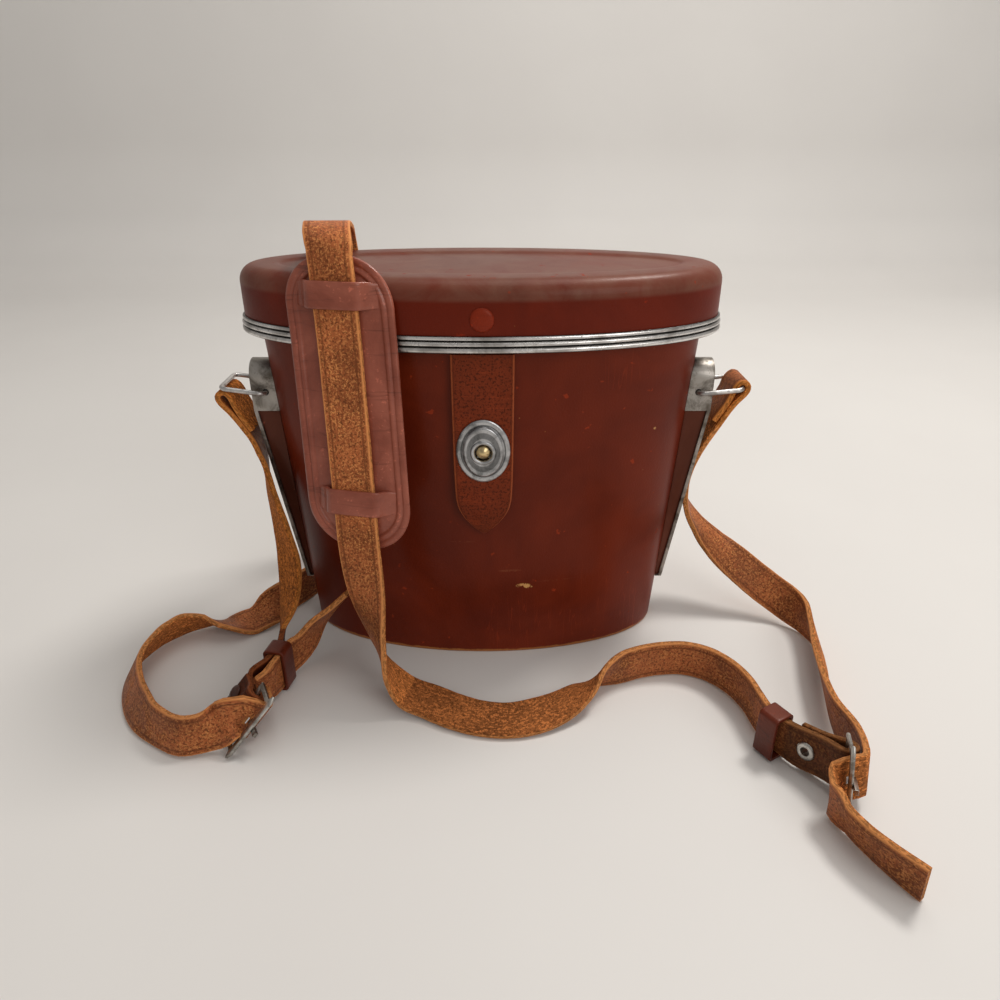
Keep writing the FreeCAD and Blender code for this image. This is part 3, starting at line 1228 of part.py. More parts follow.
def straps():
    layer = size.strap_thick / 2
    beside = size.strap_thick + 2 * size.strap_gap
    width = Vector(0, 1, 0)
    slots = {"left": [fold_slot(LEFT_SPOT)], "right": [fold_slot(RIGHT_SPOT)]}

    # the left side's own strap, from its loop to the fold in the left buckle
    left_keeper_spot = Spot(place(*LEFT_KEEPER_SHARES[:3]), Vector(0, 0, 1), Vector(*LEFT_KEEPER_SHARES[3:]))
    across = LEFT_SPOT.across * -1
    left_bar = loop_bar(size.left_loop_tilt)
    left_bar.x = -left_bar.x
    hang = lug_strap("left", left_bar, LEFT_HANG_SHARES, width)
    left_fold = fold(LEFT_SPOT.origin, LEFT_SPOT.along, across, size.fold_mid, size.fold_joined)[0]
    turn = len(hang) - len(LEFT_HANG_SHARES) - 1
    left_parts = [("left_strap_fold", hang[:turn]), ("left_lug_hang", hang[turn:-1]),
                  ("left_buckle_strap", hang[-1:] + through(left_keeper_spot, 0, -1) + left_fold)]
    sections, marks = smooth([station for name, items in left_parts for station in items])
    lying = sections[marks[len(hang) + 1] + 1:marks[len(hang) + 2]]
    on_left = []
    for index, (point, side, face) in enumerate(lying[:-1], start=1):
        spread = size.strap_gap * (4 + 5 * index / len(lying))
        on_left.append((point + face * (size.strap_thick + spread), side))

    shank = LEFT_SPOT.post(size.rivet_radius + size.rivet_clearance, 0, -size.rivet_at, -size.overrun,
                           size.overrun)
    strap_nodes(left_parts, {"left_buckle_strap": slots["left"] + [shank]})
    reach = size.fold_closed + layer + size.strap_gap
    cap = size.stud_rivet_thick
    stud = LEFT_SPOT.post(size.rivet_radius, 0, -size.rivet_at, -reach - cap / 2, reach + cap / 4)
    stud = stud.fuse([LEFT_SPOT.post(size.stud_rivet_radius, 0, -size.rivet_at, -reach - cap, -reach),
                      LEFT_SPOT.post(size.rivet_head_radius, 0, -size.rivet_at, reach - size.glue_gap,
                                     reach + cap / 4)])
    keep("left_strap_rivet", formed("left_strap_rivet", solid_of(stud)))
    keeper("left_keeper", left_keeper_spot, -layer - beside, layer)

    # the long strap, from its tail at the left buckle over the lid to the fold in the right buckle
    right_keeper_spot = Spot(place(*RIGHT_KEEPER_SHARES[:3]), Vector(0, 0, 1),
                             Vector(*RIGHT_KEEPER_SHARES[3:]))
    tail = route(TAIL_SHARES) + through(left_keeper_spot, -beside, -1) + on_left
    tail += [(LEFT_SPOT.at(*spot_place(row)), across) for row in THREAD_SHARES]
    on_pad = []
    for share in [0.0, 0.05] + PAD_LEVEL_SHARES:
        middle, side, face = pad_line(size.pad_high - (size.pad_high - size.pad_low) * share)
        on_pad.append((middle + face * (size.pad_thick / 2 + size.strap_gap + layer), side))
    middle, side, face = pad_line(size.pad_low + size.bridge_long / 2)
    off_pad = [(middle + face * (size.pad_thick / 2 + size.strap_gap + layer), side)]
    right_fold, right_face = fold(RIGHT_SPOT.origin, ARRIVAL, RIGHT_SPOT.across, size.fold_mid,
                                  size.eyelet_at + size.grommet_radius)
    parts = [("strap_left_bow", tail + route(BOW_SHARES)), ("strap_back_drop", route(BACK_SHARES)),
             ("strap_back_bend", route(BEND_SHARES)), ("strap_over_lid", route(OVER_SHARES) + on_pad),
             ("strap_front_drop", off_pad + route(DROP_SHARES)),
             ("strap_front_run", route(RUN_SHARES) + through(right_keeper_spot, 0, 1) + right_fold)]
    arrival = (ARRIVAL - RIGHT_SPOT.across * ARRIVAL.dot(RIGHT_SPOT.across)).normalize()
    eyelet = Spot(RIGHT_SPOT.origin - arrival * size.eyelet_at, RIGHT_SPOT.across,
                  right_face.cross(RIGHT_SPOT.across))
    if eyelet.out.dot(right_face) < 0:
        eyelet = Spot(eyelet.origin, RIGHT_SPOT.across, RIGHT_SPOT.across.cross(right_face) * -1)
    tube = size.grommet_bore + size.rivet_clearance * 10
    reach = size.fold_closed + layer
    cuts = {"strap_left_bow": [prong_slot(LEFT_SPOT)],
            "strap_front_run": slots["right"] + [eyelet.post(tube + size.rivet_clearance, 0, 0,
                                                             -reach - size.overrun / 2,
                                                             reach + size.overrun / 2)]}
    strap_nodes(parts, cuts)
    flange = size.glue_gap
    grommet = eyelet.post(tube, 0, 0, -reach - flange, reach + flange)
    for low in (-reach - flange - size.keeper_gap * 2, reach + flange):
        grommet = grommet.fuse(eyelet.post(size.grommet_radius, 0, 0, low, low + size.keeper_gap * 2))
    grommet = grommet.cut(eyelet.post(size.grommet_bore, 0, 0, -2 * size.overrun, 2 * size.overrun))
    keep("right_grommet", formed("right_grommet", solid_of(grommet)))
    keeper("right_keeper", right_keeper_spot, -layer, layer + beside)

    # the right side's strap, from its loop through the right buckle
    hang = lug_strap("right", loop_bar(size.right_loop_tilt), RIGHT_HANG_SHARES, width)
    turn = len(hang) - len(RIGHT_HANG_SHARES) - 1
    thread = [(RIGHT_SPOT.at(*spot_place(row)), RIGHT_SPOT.across) for row in RIGHT_THREAD_SHARES]
    parts = [("right_strap_fold", hang[:turn]), ("right_lug_hang", hang[turn:]),
             ("right_lug_run", route(RIGHT_RUN_SHARES) + thread + route(RIGHT_TAIL_SHARES))]
    strap_nodes(parts, {"right_lug_run": [prong_slot(RIGHT_SPOT)]})


def strap_nodes(parts, cuts):
    """One ribbon through all stations, split at the first station of each part."""
    stations = [station for name, items in parts for station in items]
    sections, marks = smooth(stations)
    start = 0
    for index, (name, items) in enumerate(parts):
        end = start + len(items)
        last = marks[end] if index < len(parts) - 1 else len(sections) - 1
        strap = ribbon(sections[marks[start]:last + 1], size.strap_thick)
        if name in cuts:
            strap = solid_of(strap.cut(cuts[name]))
        keep(name, formed(name, strap))
        start = end


body_shell()
body_bottom()
body_lining()
bottom_felt()
mouth_band()
lid_shell()
lid_lining()
lid_trim_band()
hinge_lid_leaf()
hinge_body_leaf()
hinge_pin()
hinge_rivets()
tab_pieces()
snap_pieces()
lug_pieces()
loops()
shoulder_pad()
buckle("left", LEFT_SPOT)
buckle("right", RIGHT_SPOT)
straps()

doc.recompute()

for thing in doc.Objects:
    if "Invalid" in thing.State or "Error" in thing.State:
        raise ValueError("%s can't be computed" % thing.Label)
for name, thing in nodes.items():
    if thing.Shape.isNull() or not thing.Shape.isValid():
        raise ValueError("%s has no valid shape" % name)

os.makedirs("parts", exist_ok=True)
for name, thing in nodes.items():
    thing.Shape.exportStep(os.path.join("parts", name + ".step"))
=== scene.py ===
import math

import bmesh
import bpy
from mathutils import Matrix, Vector


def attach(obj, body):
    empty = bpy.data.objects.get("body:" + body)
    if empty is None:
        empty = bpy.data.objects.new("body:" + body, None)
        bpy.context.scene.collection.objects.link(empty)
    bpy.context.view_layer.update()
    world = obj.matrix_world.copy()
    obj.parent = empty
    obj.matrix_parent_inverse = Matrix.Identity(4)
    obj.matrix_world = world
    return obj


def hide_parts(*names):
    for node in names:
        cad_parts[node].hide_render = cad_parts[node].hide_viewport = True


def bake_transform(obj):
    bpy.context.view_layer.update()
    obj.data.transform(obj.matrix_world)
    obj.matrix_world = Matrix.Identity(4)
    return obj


# An oval moulded leather binocular case: a lacquered body and hinged lid, a snap tab, wire strap loops
# on side brackets, and a shoulder strap with two buckles and a stamped leather pad.
# Tables are in millimetres; meshes are in metres, in the CAD's frame.

MM = 0.001
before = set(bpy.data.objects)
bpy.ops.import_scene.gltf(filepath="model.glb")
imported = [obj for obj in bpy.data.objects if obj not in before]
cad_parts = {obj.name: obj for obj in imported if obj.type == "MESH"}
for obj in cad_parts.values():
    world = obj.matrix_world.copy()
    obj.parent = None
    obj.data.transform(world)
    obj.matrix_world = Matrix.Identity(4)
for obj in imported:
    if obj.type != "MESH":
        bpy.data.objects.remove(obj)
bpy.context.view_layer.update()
scene = bpy.context.scene
scene.view_settings.view_transform = "Standard"

CAMERA_PLACE = (7.29, -299.5, 208.0)
CAMERA_PITCH = 26.7
CAMERA_LENS = 27.0
SENSOR = 36.0


def mm(point):
    return Vector(point) * MM


def linked(name, data):
    """A new object in the scene."""
    thing = bpy.data.objects.new(name, data)
    scene.collection.objects.link(thing)
    return thing


def camera():
    data = bpy.data.cameras.new("camera")
    data.sensor_width, data.lens = SENSOR, CAMERA_LENS
    data.clip_start, data.clip_end = 0.01, 20
    eye = linked("camera", data)
    eye.location = mm(CAMERA_PLACE)
    eye.rotation_euler = (math.radians(90 - CAMERA_PITCH), 0, 0)
    scene.camera = eye


camera()


# node trees, for shapes and for finishes

class Nodes:
    """Short ways to add nodes to a tree and link them."""

    def __init__(self, tree):
        self.tree = tree

    def add(self, kind, inputs=(), **settings):
        """A node with its settings made and its inputs set or linked; inputs go by name or place."""
        node = self.tree.nodes.new(kind)
        for key, value in settings.items():
            setattr(node, key, value)
        pairs = inputs.items() if isinstance(inputs, dict) else enumerate(inputs)
        for key, value in pairs:
            self.put(node.inputs[key], value)
        return node

    def put(self, socket, value):
        if isinstance(value, bpy.types.NodeSocket):
            self.tree.links.new(value, socket)
        elif value is not None:
            socket.default_value = value

    def math(self, operation, *values, clamp=False):
        return self.add("ShaderNodeMath", values, operation=operation, use_clamp=clamp).outputs[0]

    def plus(self, first, second):
        return self.math("ADD", first, second)

    def times(self, *values):
        result = values[0]
        for value in values[1:]:
            result = self.math("MULTIPLY", result, value)
        return result

    def vector(self, operation, *values):
        return self.add("ShaderNodeVectorMath", values, operation=operation).outputs[0]

    def scaled(self, vector, factor):
        return self.add("ShaderNodeVectorMath", {0: vector, "Scale": factor}, operation="SCALE").outputs[0]

    def parts(self, vector):
        return self.add("ShaderNodeSeparateXYZ", [vector]).outputs

    def joined(self, x=0.0, y=0.0, z=0.0):
        return self.add("ShaderNodeCombineXYZ", [x, y, z]).outputs[0]


class Shape(Nodes):
    """A geometry tree with named inputs."""

    def __init__(self, name, **inputs):
        super().__init__(bpy.data.node_groups.new(name, "GeometryNodeTree"))
        face = self.tree.interface
        face.new_socket("Geometry", in_out="INPUT", socket_type="NodeSocketGeometry")
        kinds = {int: "NodeSocketInt", float: "NodeSocketFloat", None: "NodeSocketMaterial"}
        for key, value in inputs.items():
            kind = kinds[None if value is None else type(value)]
            socket = face.new_socket(key, in_out="INPUT", socket_type=kind)
            if value is not None:
                socket.default_value = value
        face.new_socket("Geometry", in_out="OUTPUT", socket_type="NodeSocketGeometry")
        self.given = self.tree.nodes.new("NodeGroupInput").outputs

    def sampled(self, value, index, kind="FLOAT_VECTOR"):
        """A value of the table that is fed in, at an index."""
        node = self.add("GeometryNodeSampleIndex", data_type=kind, domain="POINT")
        self.put(node.inputs["Geometry"], self.given["Geometry"])
        self.put(node.inputs["Value"], value)
        self.put(node.inputs["Index"], index)
        return node.outputs["Value"]

    def named(self, name, kind="FLOAT_VECTOR"):
        node = self.add("GeometryNodeInputNamedAttribute", {"Name": name}, data_type=kind)
        return node.outputs["Attribute"]

    def finish(self, geometry, sharp):
        """Closes seams, shades smooth except at sharp edges, and sets the finish."""
        merged = self.add("GeometryNodeMergeByDistance", {"Geometry": geometry, "Distance": 2e-6}).outputs[0]
        smooth = self.add("GeometryNodeSetShadeSmooth", {0: merged, "Shade Smooth": True}, domain="FACE")
        angle = self.add("GeometryNodeInputMeshEdgeAngle").outputs["Unsigned Angle"]
        edges = self.math("GREATER_THAN", angle, sharp)
        creased = self.add("GeometryNodeSetShadeSmooth",
                           {0: smooth.outputs[0], "Selection": edges, "Shade Smooth": False}, domain="EDGE")
        whole = self.add("GeometryNodeRealizeInstances", [creased.outputs[0]]).outputs[0]
        finished = self.add("GeometryNodeSetMaterial", {"Geometry": whole, "Material": self.given["Finish"]})
        self.add("NodeGroupOutput", [finished.outputs[0]])


def strap_tree():
    """A strip or wire along stations. The table fed in has one point for each station, with the
    directions of its width and its face and a share of the full width, and then the outline's points."""
    tree = Shape("strip_along_stations", Stations=2, Outline=4, Wander=0.0, Wander_Pitch=100.0, Finish=None)
    count = tree.given["Outline"]
    row = tree.plus(count, 1.0)
    grid = tree.add("GeometryNodeMeshGrid", {"Vertices X": tree.given["Stations"], "Vertices Y": row})
    index = tree.add("GeometryNodeInputIndex").outputs[0]
    station = tree.math("FLOOR", tree.math("DIVIDE", index, row))
    turn = tree.math("MODULO", tree.math("MODULO", index, row), count)
    outline = tree.plus(turn, tree.given["Stations"])
    position = tree.add("GeometryNodeInputPosition").outputs[0]
    place = tree.sampled(position, station)
    side, face = [tree.sampled(tree.named(name), station) for name in ("side", "face")]
    share, length = [tree.sampled(tree.named(name, "FLOAT"), station, "FLOAT")
                     for name in ("share", "length")]
    across, out, _ = tree.parts(tree.sampled(position, outline))
    half = tree.math("SIGN", across)
    spot = tree.joined(tree.times(length, tree.given["Wander_Pitch"]), tree.times(half, 7.0))
    noise = tree.add("ShaderNodeTexNoise", {"Vector": spot, "Scale": 1.0, "Detail": 2.0}).outputs[0]
    reach = tree.times(half, tree.given["Wander"])
    stray = tree.times(tree.math("SUBTRACT", noise, 0.5), reach)
    wide = tree.times(tree.plus(across, stray), share)
    thick = tree.times(out, tree.math("MINIMUM", tree.times(share, 4.0), 1.0))
    moved = tree.vector("ADD", place, tree.vector("ADD", tree.scaled(side, wide), tree.scaled(face, thick)))
    placed = tree.add("GeometryNodeSetPosition", {"Geometry": grid.outputs[0], "Position": moved}).outputs[0]
    note = tree.joined(across, out, length)
    noted = tree.add("GeometryNodeStoreNamedAttribute", {"Geometry": placed, "Name": "strap", "Value": note},
                     data_type="FLOAT_VECTOR", domain="POINT").outputs[0]
    tree.finish(noted, math.radians(55))
    return tree.tree


def oval_tree():
    """A wall of ovals. The table fed in has one point for each oval: how far it lies outside the base oval
    in width and in depth, and its height."""
    tree = Shape("wall_of_ovals", Ovals=2, Segments=96, Half_Width=0.0, Half_Depth=0.0, Width_Slope=0.0,
                 Depth_Slope=0.0, Finish=None)
    grid = tree.add("GeometryNodeMeshGrid", {"Vertices X": tree.plus(tree.given["Segments"], 1.0),
                                             "Vertices Y": tree.given["Ovals"]})
    index = tree.add("GeometryNodeInputIndex").outputs[0]
    step = tree.math("FLOOR", tree.math("DIVIDE", index, tree.given["Ovals"]))
    oval = tree.math("MODULO", index, tree.given["Ovals"])
    turn = tree.math("DIVIDE", tree.math("MODULO", step, tree.given["Segments"]), tree.given["Segments"])
    turn = tree.times(turn, math.tau)
    wide, deep, level = tree.parts(tree.sampled(tree.add("GeometryNodeInputPosition").outputs[0], oval))
    sums = []
    for offset, base, slope in ((wide, "Half_Width", "Width_Slope"), (deep, "Half_Depth", "Depth_Slope")):
        grown = tree.times(level, tree.given[slope])
        sums.append(tree.plus(tree.plus(tree.given[base], grown), offset))
    x = tree.times(sums[0], tree.math("COSINE", turn))
    y = tree.times(sums[1], tree.math("SINE", turn))
    placed = tree.add("GeometryNodeSetPosition",
                      {"Geometry": grid.outputs[0], "Position": tree.joined(x, y, level)})
    tree.finish(placed.outputs[0], math.radians(50))
    return tree.tree


STRIP, OVALS = strap_tree(), oval_tree()


def plain_mesh(thing):
    """The evaluated mesh of an object takes the place of its own, and its modifiers go."""
    graph = bpy.context.evaluated_depsgraph_get()
    made = bpy.data.meshes.new_from_object(thing.evaluated_get(graph), preserve_all_data_layers=True,
                                           depsgraph=graph)
    thing.modifiers.clear()
    thing.data = made
    return thing


def outward(thing):
    """Turns a closed mesh's faces outwards."""
    solid = bmesh.new()
    solid.from_mesh(thing.data)
    if solid.calc_volume(signed=True) < 0:
        bmesh.ops.reverse_faces(solid, faces=solid.faces)
        solid.to_mesh(thing.data)
    solid.free()
    return thing


def grown(tree, name, points, columns, inputs):
    """Runs a geometry tree over a table of points and returns the plain result."""
    mesh = bpy.data.meshes.new(name)
    mesh.from_pydata([mm(point) for point in points], [], [])
    for key, values in columns.items():
        kind = "FLOAT" if isinstance(values[0], float) else "FLOAT_VECTOR"
        column = mesh.attributes.new(key, kind, "POINT")
        for index, value in enumerate(values):
            if kind == "FLOAT":
                column.data[index].value = value
            else:
                column.data[index].vector = value
    thing = linked(name, mesh)
    step = thing.modifiers.new("shape", "NODES")
    step.node_group = tree
    keys = {item.name: item.identifier for item in tree.interface.items_tree if item.in_out == "INPUT"}
    for key, value in inputs.items():
        step[keys[key]] = value
    return outward(plain_mesh(thing))


def settle(thing, body, slot, *nodes, to=None, start=None, end=None):
    """The piece moves with a body or, when it reaches to another body, stays fixed in the world; the CAD
    nodes it stands for are hidden.
    """
    if to:
        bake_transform(thing)
    else:
        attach(thing, body)
    if nodes:
        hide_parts(*nodes)
    return thing


# finishes

class Finish(Nodes):
    """A material with short ways to build its colour, roughness and relief."""

    def __init__(self, name, metallic=0.0, roughness=0.5, **fixed):
        material = bpy.data.materials.new(name)
        material.use_nodes = True
        super().__init__(material.node_tree)
        self.material = material
        self.shader = material.node_tree.nodes["Principled BSDF"]
        self.shader.inputs["Metallic"].default_value = metallic
        self.shader.inputs["Roughness"].default_value = roughness
        for key, value in fixed.items():
            self.shader.inputs[key.replace("_", " ")].default_value = value
        self.place = self.add("ShaderNodeTexCoord").outputs["Object"]

    def noise(self, scale, detail=3.0, rough=0.5, where=None, twist=0.0):
        inputs = {"Vector": where or self.place, "Scale": scale, "Detail": detail, "Roughness": rough,
                  "Distortion": twist}
        return self.add("ShaderNodeTexNoise", inputs).outputs[0]

    def cells(self, scale, where=None, feature="F1"):
        inputs = {"Vector": where or self.place, "Scale": scale}
        return self.add("ShaderNodeTexVoronoi", inputs, feature=feature).outputs["Distance"]

    def stretched(self, vector, x=1.0, y=1.0, z=1.0):
        return self.vector("MULTIPLY", vector, (x, y, z))

    def step(self, value, low, high):
        """0 below low, 1 above high, and smooth between them; with low above high it falls."""
        node = self.add("ShaderNodeMapRange", {"Value": value, "From Min": low, "From Max": high},
                        interpolation_type="SMOOTHSTEP")
        return node.outputs[0]

    def mix(self, share, first, second):
        node = self.add("ShaderNodeMix", data_type="RGBA")
        self.put(node.inputs[0], share)
        for socket, colour in ((node.inputs[6], first), (node.inputs[7], second)):
            self.put(socket, colour if isinstance(colour, bpy.types.NodeSocket) else (*colour, 1.0))
        return node.outputs[2]

    def over(self, colour, tint, *shares):
        """A tint laid over a colour where all the shares are high."""
        return self.mix(self.times(*shares), colour, tint)

    def band(self, value, low, high, soft):
        """1 between two limits, with soft edges inside them, and 0 outside."""
        return self.times(self.step(value, low, low + soft), self.step(value, high, high - soft))

    def spread(self, value, low, high):
        """A value from 0 to 1 spread between two limits."""
        return self.add("ShaderNodeMapRange", {"Value": value, "To Min": low, "To Max": high}).outputs[0]

    def near(self, point, wide, tall):
        """1 at a point of the object and 0 outside an ellipse round it, seen from the front."""
        x, y, z = self.parts(self.vector("SUBTRACT", self.place, tuple(mm(point))))
        reach = self.plus(self.math("POWER", self.math("DIVIDE", x, wide * MM), 2.0),
                          self.math("POWER", self.math("DIVIDE", z, tall * MM), 2.0))
        front = self.math("LESS_THAN", self.math("ABSOLUTE", y), 0.006)
        return self.times(self.step(reach, 1.0, 0.35), front)

    def oval(self, middle, wide, tall):
        """How far out a point lies in an upright oval round a place: 1 on the oval."""
        x, _, z = self.parts(self.vector("SUBTRACT", self.place, tuple(mm(middle))))
        flat = self.joined(self.math("DIVIDE", x, wide * MM), self.math("DIVIDE", z, tall * MM))
        return self.add("ShaderNodeVectorMath", [flat], operation="LENGTH").outputs["Value"]

    def bump(self, height, distance, strength=1.0, under=None):
        node = self.add("ShaderNodeBump", {"Strength": strength, "Distance": distance, "Height": height})
        if under:
            self.put(node.inputs["Normal"], under)
        return node.outputs[0]

    def done(self, colour=None, roughness=None, normal=None):
        for key, value in (("Base Color", colour), ("Roughness", roughness), ("Normal", normal)):
            if value is not None:
                self.put(self.shader.inputs[key], value)
        return self.material


STRAP_HALF, TAB_HALF = 8.0, 11.5
TAN = (0.42, 0.16, 0.045)
CHIP = (0.62, 0.33, 0.11)
WARM = (1.0, 0.62, 0.48, 1.0)
# painted sheen: a pale tint laid on top surfaces above these heights (in metres), standing in for reflected
# light
TOP_SHEEN_TINT = (0.2, 0.1, 0.068)
TOP_SHEEN_LEVELS = (0.1525, 0.1545)
STUD_OVAL = ((1.0, -38.5, 97.4), 10.2, 12.7)


def shade(colour, factor):
    """A colour made darker or lighter."""
    return tuple(min(1.0, part * factor) for part in colour)


def moulded_leather(name, deep, light, marks=()):
    """Lacquered leather: a fine grain under a worn shine, mottled, with scuffs, a painted sheen on its top
    and a raw lower edge.
    """
    finish = Finish(name, Coat_Weight=0.1, Coat_Roughness=0.2, Specular_IOR_Level=0.2, Specular_Tint=WARM)
    noise, step, over = finish.noise, finish.step, finish.over
    cloud = noise(16, 4, 0.6, twist=0.6)
    colour = finish.mix(step(cloud, 0.32, 0.7), deep, light)
    level = finish.parts(finish.place)[2]
    # painted sheen: above a height the colour is paled in patches, as a painted reflection; the patches name
    # is reused below for the scratches
    sheen_and_scratch_patches = finish.spread(noise(60, 4, 0.65, twist=0.8), -0.15, 0.95)
    colour = over(colour, TOP_SHEEN_TINT, step(level, *TOP_SHEEN_LEVELS), sheen_and_scratch_patches)
    streak = noise(30, 3, 0.6, finish.stretched(finish.place, 1.0, 1.0, 0.22))
    colour = over(colour, shade(deep, 0.62), step(streak, 0.55, 0.8), 0.35)
    scuff = finish.times(step(noise(210, 2, 0.7), 0.69, 0.74), step(cloud, 0.3, 0.5))
    colour = over(colour, shade(light, 2.4), scuff, 0.5)
    speck = step(finish.cells(120), 0.05, 0.02)
    colour = over(colour, TAN, speck, step(noise(60), 0.5, 0.6), 0.45)
    scratch = noise(55, 2, 0.5, finish.stretched(finish.place, 6.0, 1.0, 0.35))
    hairline = finish.band(scratch, 0.485, 0.515, 0.015)
    sheen_and_scratch_patches = step(noise(18), 0.55, 0.66)
    colour = over(colour, shade(light, 2.0), hairline, sheen_and_scratch_patches, 0.3)
    for point, wide, tall, tint, share in marks:
        ragged = step(noise(420, 3, 0.7), 0.4, 0.55)
        colour = over(colour, tint, finish.near(point, wide, tall), ragged, share)
    ragged = finish.plus(level, finish.spread(noise(160, 3, 0.6), -0.0009, 0.0009))
    colour = over(colour, TAN, step(ragged, 0.0019, 0.0011), 0.85)
    shift = finish.scaled(finish.joined(cloud, streak), 0.0006)
    grain = finish.cells(1250, finish.vector("ADD", finish.place, shift))
    relief = finish.bump(noise(9, 2, 0.5), 0.0018, 0.35)
    relief = finish.bump(grain, 0.00006, 0.5, relief)
    relief = finish.bump(scratch, 0.00003, 0.4, relief)
    rough = finish.plus(finish.spread(cloud, 0.36, 0.52), finish.times(scuff, 0.25))
    return finish.done(colour, rough, relief)


def strap_leather(name, grain, flesh, edge, creases=5.9, dark=0.5, dusty=0.55, half=STRAP_HALF, furrow=0.7,
                  wrinkled=0.0, painted_shade_from_x=None):
    """Strap leather, by where a point lies on the strip: grain on one face, suede on the other, raw edges.
    It is painted paler higher up, as painted light from above, and can be painted darker to the right of a
    place, as painted shade."""
    finish = Finish(name, Specular_IOR_Level=0.25, Specular_Tint=WARM)
    step, over, noise, spread, mix = finish.step, finish.over, finish.noise, finish.spread, finish.mix
    note = finish.add("ShaderNodeAttribute", attribute_name="strap").outputs["Vector"]
    across, out, length = finish.parts(note)
    strip = finish.joined(across, out, length)
    cloud = noise(38, 4, 0.65, strip, 0.5)
    pores = noise(950, 3, 0.75, strip)
    nap = noise(1400, 2, 0.8, finish.stretched(strip, 1.0, 1.0, 0.45))
    worn = step(noise(85, 4, 0.7, strip), 0.42, 0.68)
    top = mix(step(cloud, 0.35, 0.65), shade(grain, dark), grain)
    flecks = step(noise(1150, 2, 0.8, strip), 0.5, 0.57)
    top = over(top, edge, flecks, spread(worn, 0.5, 1.0), dusty)
    top = over(top, shade(grain, 0.24), step(pores, 0.52, 0.58), 0.8)
    fold = noise(120, 3, 0.6, finish.stretched(strip, 0.25, 1.0, 4.5), 0.6)
    top = over(top, shade(grain, 1.8), step(fold, 0.58, 0.64), wrinkled)
    under = mix(step(cloud, 0.3, 0.7), shade(flesh, 0.5), flesh)
    under = over(under, shade(flesh, 1.8), step(nap, 0.48, 0.6), 0.8)
    under = over(under, shade(flesh, 0.24), step(pores, 0.51, 0.58), 0.75)
    far = finish.math("ABSOLUTE", across)
    line = finish.band(far, (creases - 0.7) * MM, (creases + 0.7) * MM, 0.7 * MM)
    top = over(top, shade(grain, 0.3), line, furrow)
    rim = step(finish.plus(far, spread(pores, -0.0006, 0.0006)), (half - 0.9) * MM, (half - 0.2) * MM)
    top = over(top, edge, rim, 0.75)
    face = step(out, 0.0004, 0.0009)
    back = step(out, -0.0004, -0.0009)
    raw = mix(step(nap, 0.4, 0.62), shade(edge, 0.45), edge)
    colour = mix(face, raw, top)
    colour = mix(back, colour, under)
    x, _, level = finish.parts(finish.place)
    # painted light: the strap's colour is brightened with height, as if lit from above
    tone = spread(step(level, 0.03, 0.1), 0.96, 1.3)
    # painted shade: the strap is darkened to the right of a given x
    if painted_shade_from_x is not None:
        tone = finish.times(tone, spread(step(x, painted_shade_from_x, painted_shade_from_x + 0.002), 1.0, 0.36))
    colour = finish.scaled(colour, tone)
    relief = finish.bump(finish.times(line, face), 0.0003, -0.8)
    relief = finish.bump(fold, 0.0003, wrinkled, relief)
    relief = finish.bump(pores, 0.00012, 0.6, relief)
    relief = finish.bump(nap, 0.0003, spread(face, 0.75, 0.1), relief)
    polish = finish.times(face, step(worn, 0.6, 0.2), 0.14)
    rough = finish.math("SUBTRACT", spread(face, 0.9, 0.66), polish)
    return finish.done(colour, rough, relief)


def pressed_leather(name, deep, light, grain_size=900, shine=0.55):
    """Smooth pressed leather with a fine grain, for the pad, the keepers and the rivets' caps."""
    finish = Finish(name, Coat_Weight=shine, Coat_Roughness=0.22, Specular_IOR_Level=0.3, Specular_Tint=WARM)
    cloud = finish.noise(45, 4, 0.6, twist=0.4)
    colour = finish.mix(finish.step(cloud, 0.35, 0.68), deep, light)
    dust = finish.step(finish.noise(420, 3, 0.75), 0.58, 0.7)
    colour = finish.over(colour, shade(light, 2.6), dust, finish.step(cloud, 0.35, 0.6), 0.35)
    fold = finish.noise(95, 3, 0.6, finish.stretched(finish.place, 0.3, 1.0, 5.0), 0.8)
    # painted shade: the folds are darkened in colour as well as bumped
    colour = finish.over(colour, shade(deep, 0.45), finish.step(fold, 0.56, 0.7), 0.5)
    relief = finish.bump(fold, 0.0003, 0.35)
    relief = finish.bump(finish.cells(grain_size), 0.0001, 0.5, relief)
    rough = finish.spread(finish.noise(60, 3), 0.36, 0.56)
    return finish.done(colour, rough, relief)


def worn_metal(name, clean, dull, roughness=(0.24, 0.5), scale=90, pits=0.5, grooves=(), rings=()):
    """Plated metal with dull patches, scratches and dark pits, and painted shade in grooves or round the
    stud.
    Grooves are (height, half width) in millimetres; rings are (inner, outer, share) of the stud's oval."""
    finish = Finish(name, metallic=1.0)
    cloud = finish.noise(scale, 4, 0.65, twist=0.5)
    colour = finish.mix(finish.step(cloud, 0.38, 0.66), clean, dull)
    pit = finish.step(finish.noise(scale * 11, 3, 0.7), 0.62, 0.7)
    colour = finish.over(colour, shade(dull, 0.25), pit, pits)
    # painted shade: a dark colour laid in the grooves and in the rings round the stud
    recess_painted_shade = shade(dull, 0.16)
    level = finish.parts(finish.place)[2]
    for height, half in grooves:
        away = finish.math("ABSOLUTE", finish.math("SUBTRACT", level, height * MM))
        colour = finish.over(colour, recess_painted_shade, finish.step(away, half * MM, half * 0.4 * MM), 0.88)
    if rings:
        reach = finish.oval(*STUD_OVAL)
    for inner, outer, share in rings:
        colour = finish.over(colour, recess_painted_shade, finish.band(reach, inner, outer, 0.03), share)
    scratch = finish.noise(scale * 3, 2, 0.6, finish.stretched(finish.place, 0.3, 1.0, 4.0))
    relief = finish.bump(finish.noise(scale * 5, 3, 0.7), 0.00008, 0.35)
    relief = finish.bump(scratch, 0.00004, 0.3, relief)
    rough = finish.plus(finish.spread(cloud, *roughness), finish.times(pit, 0.25))
    return finish.done(colour, rough, relief)


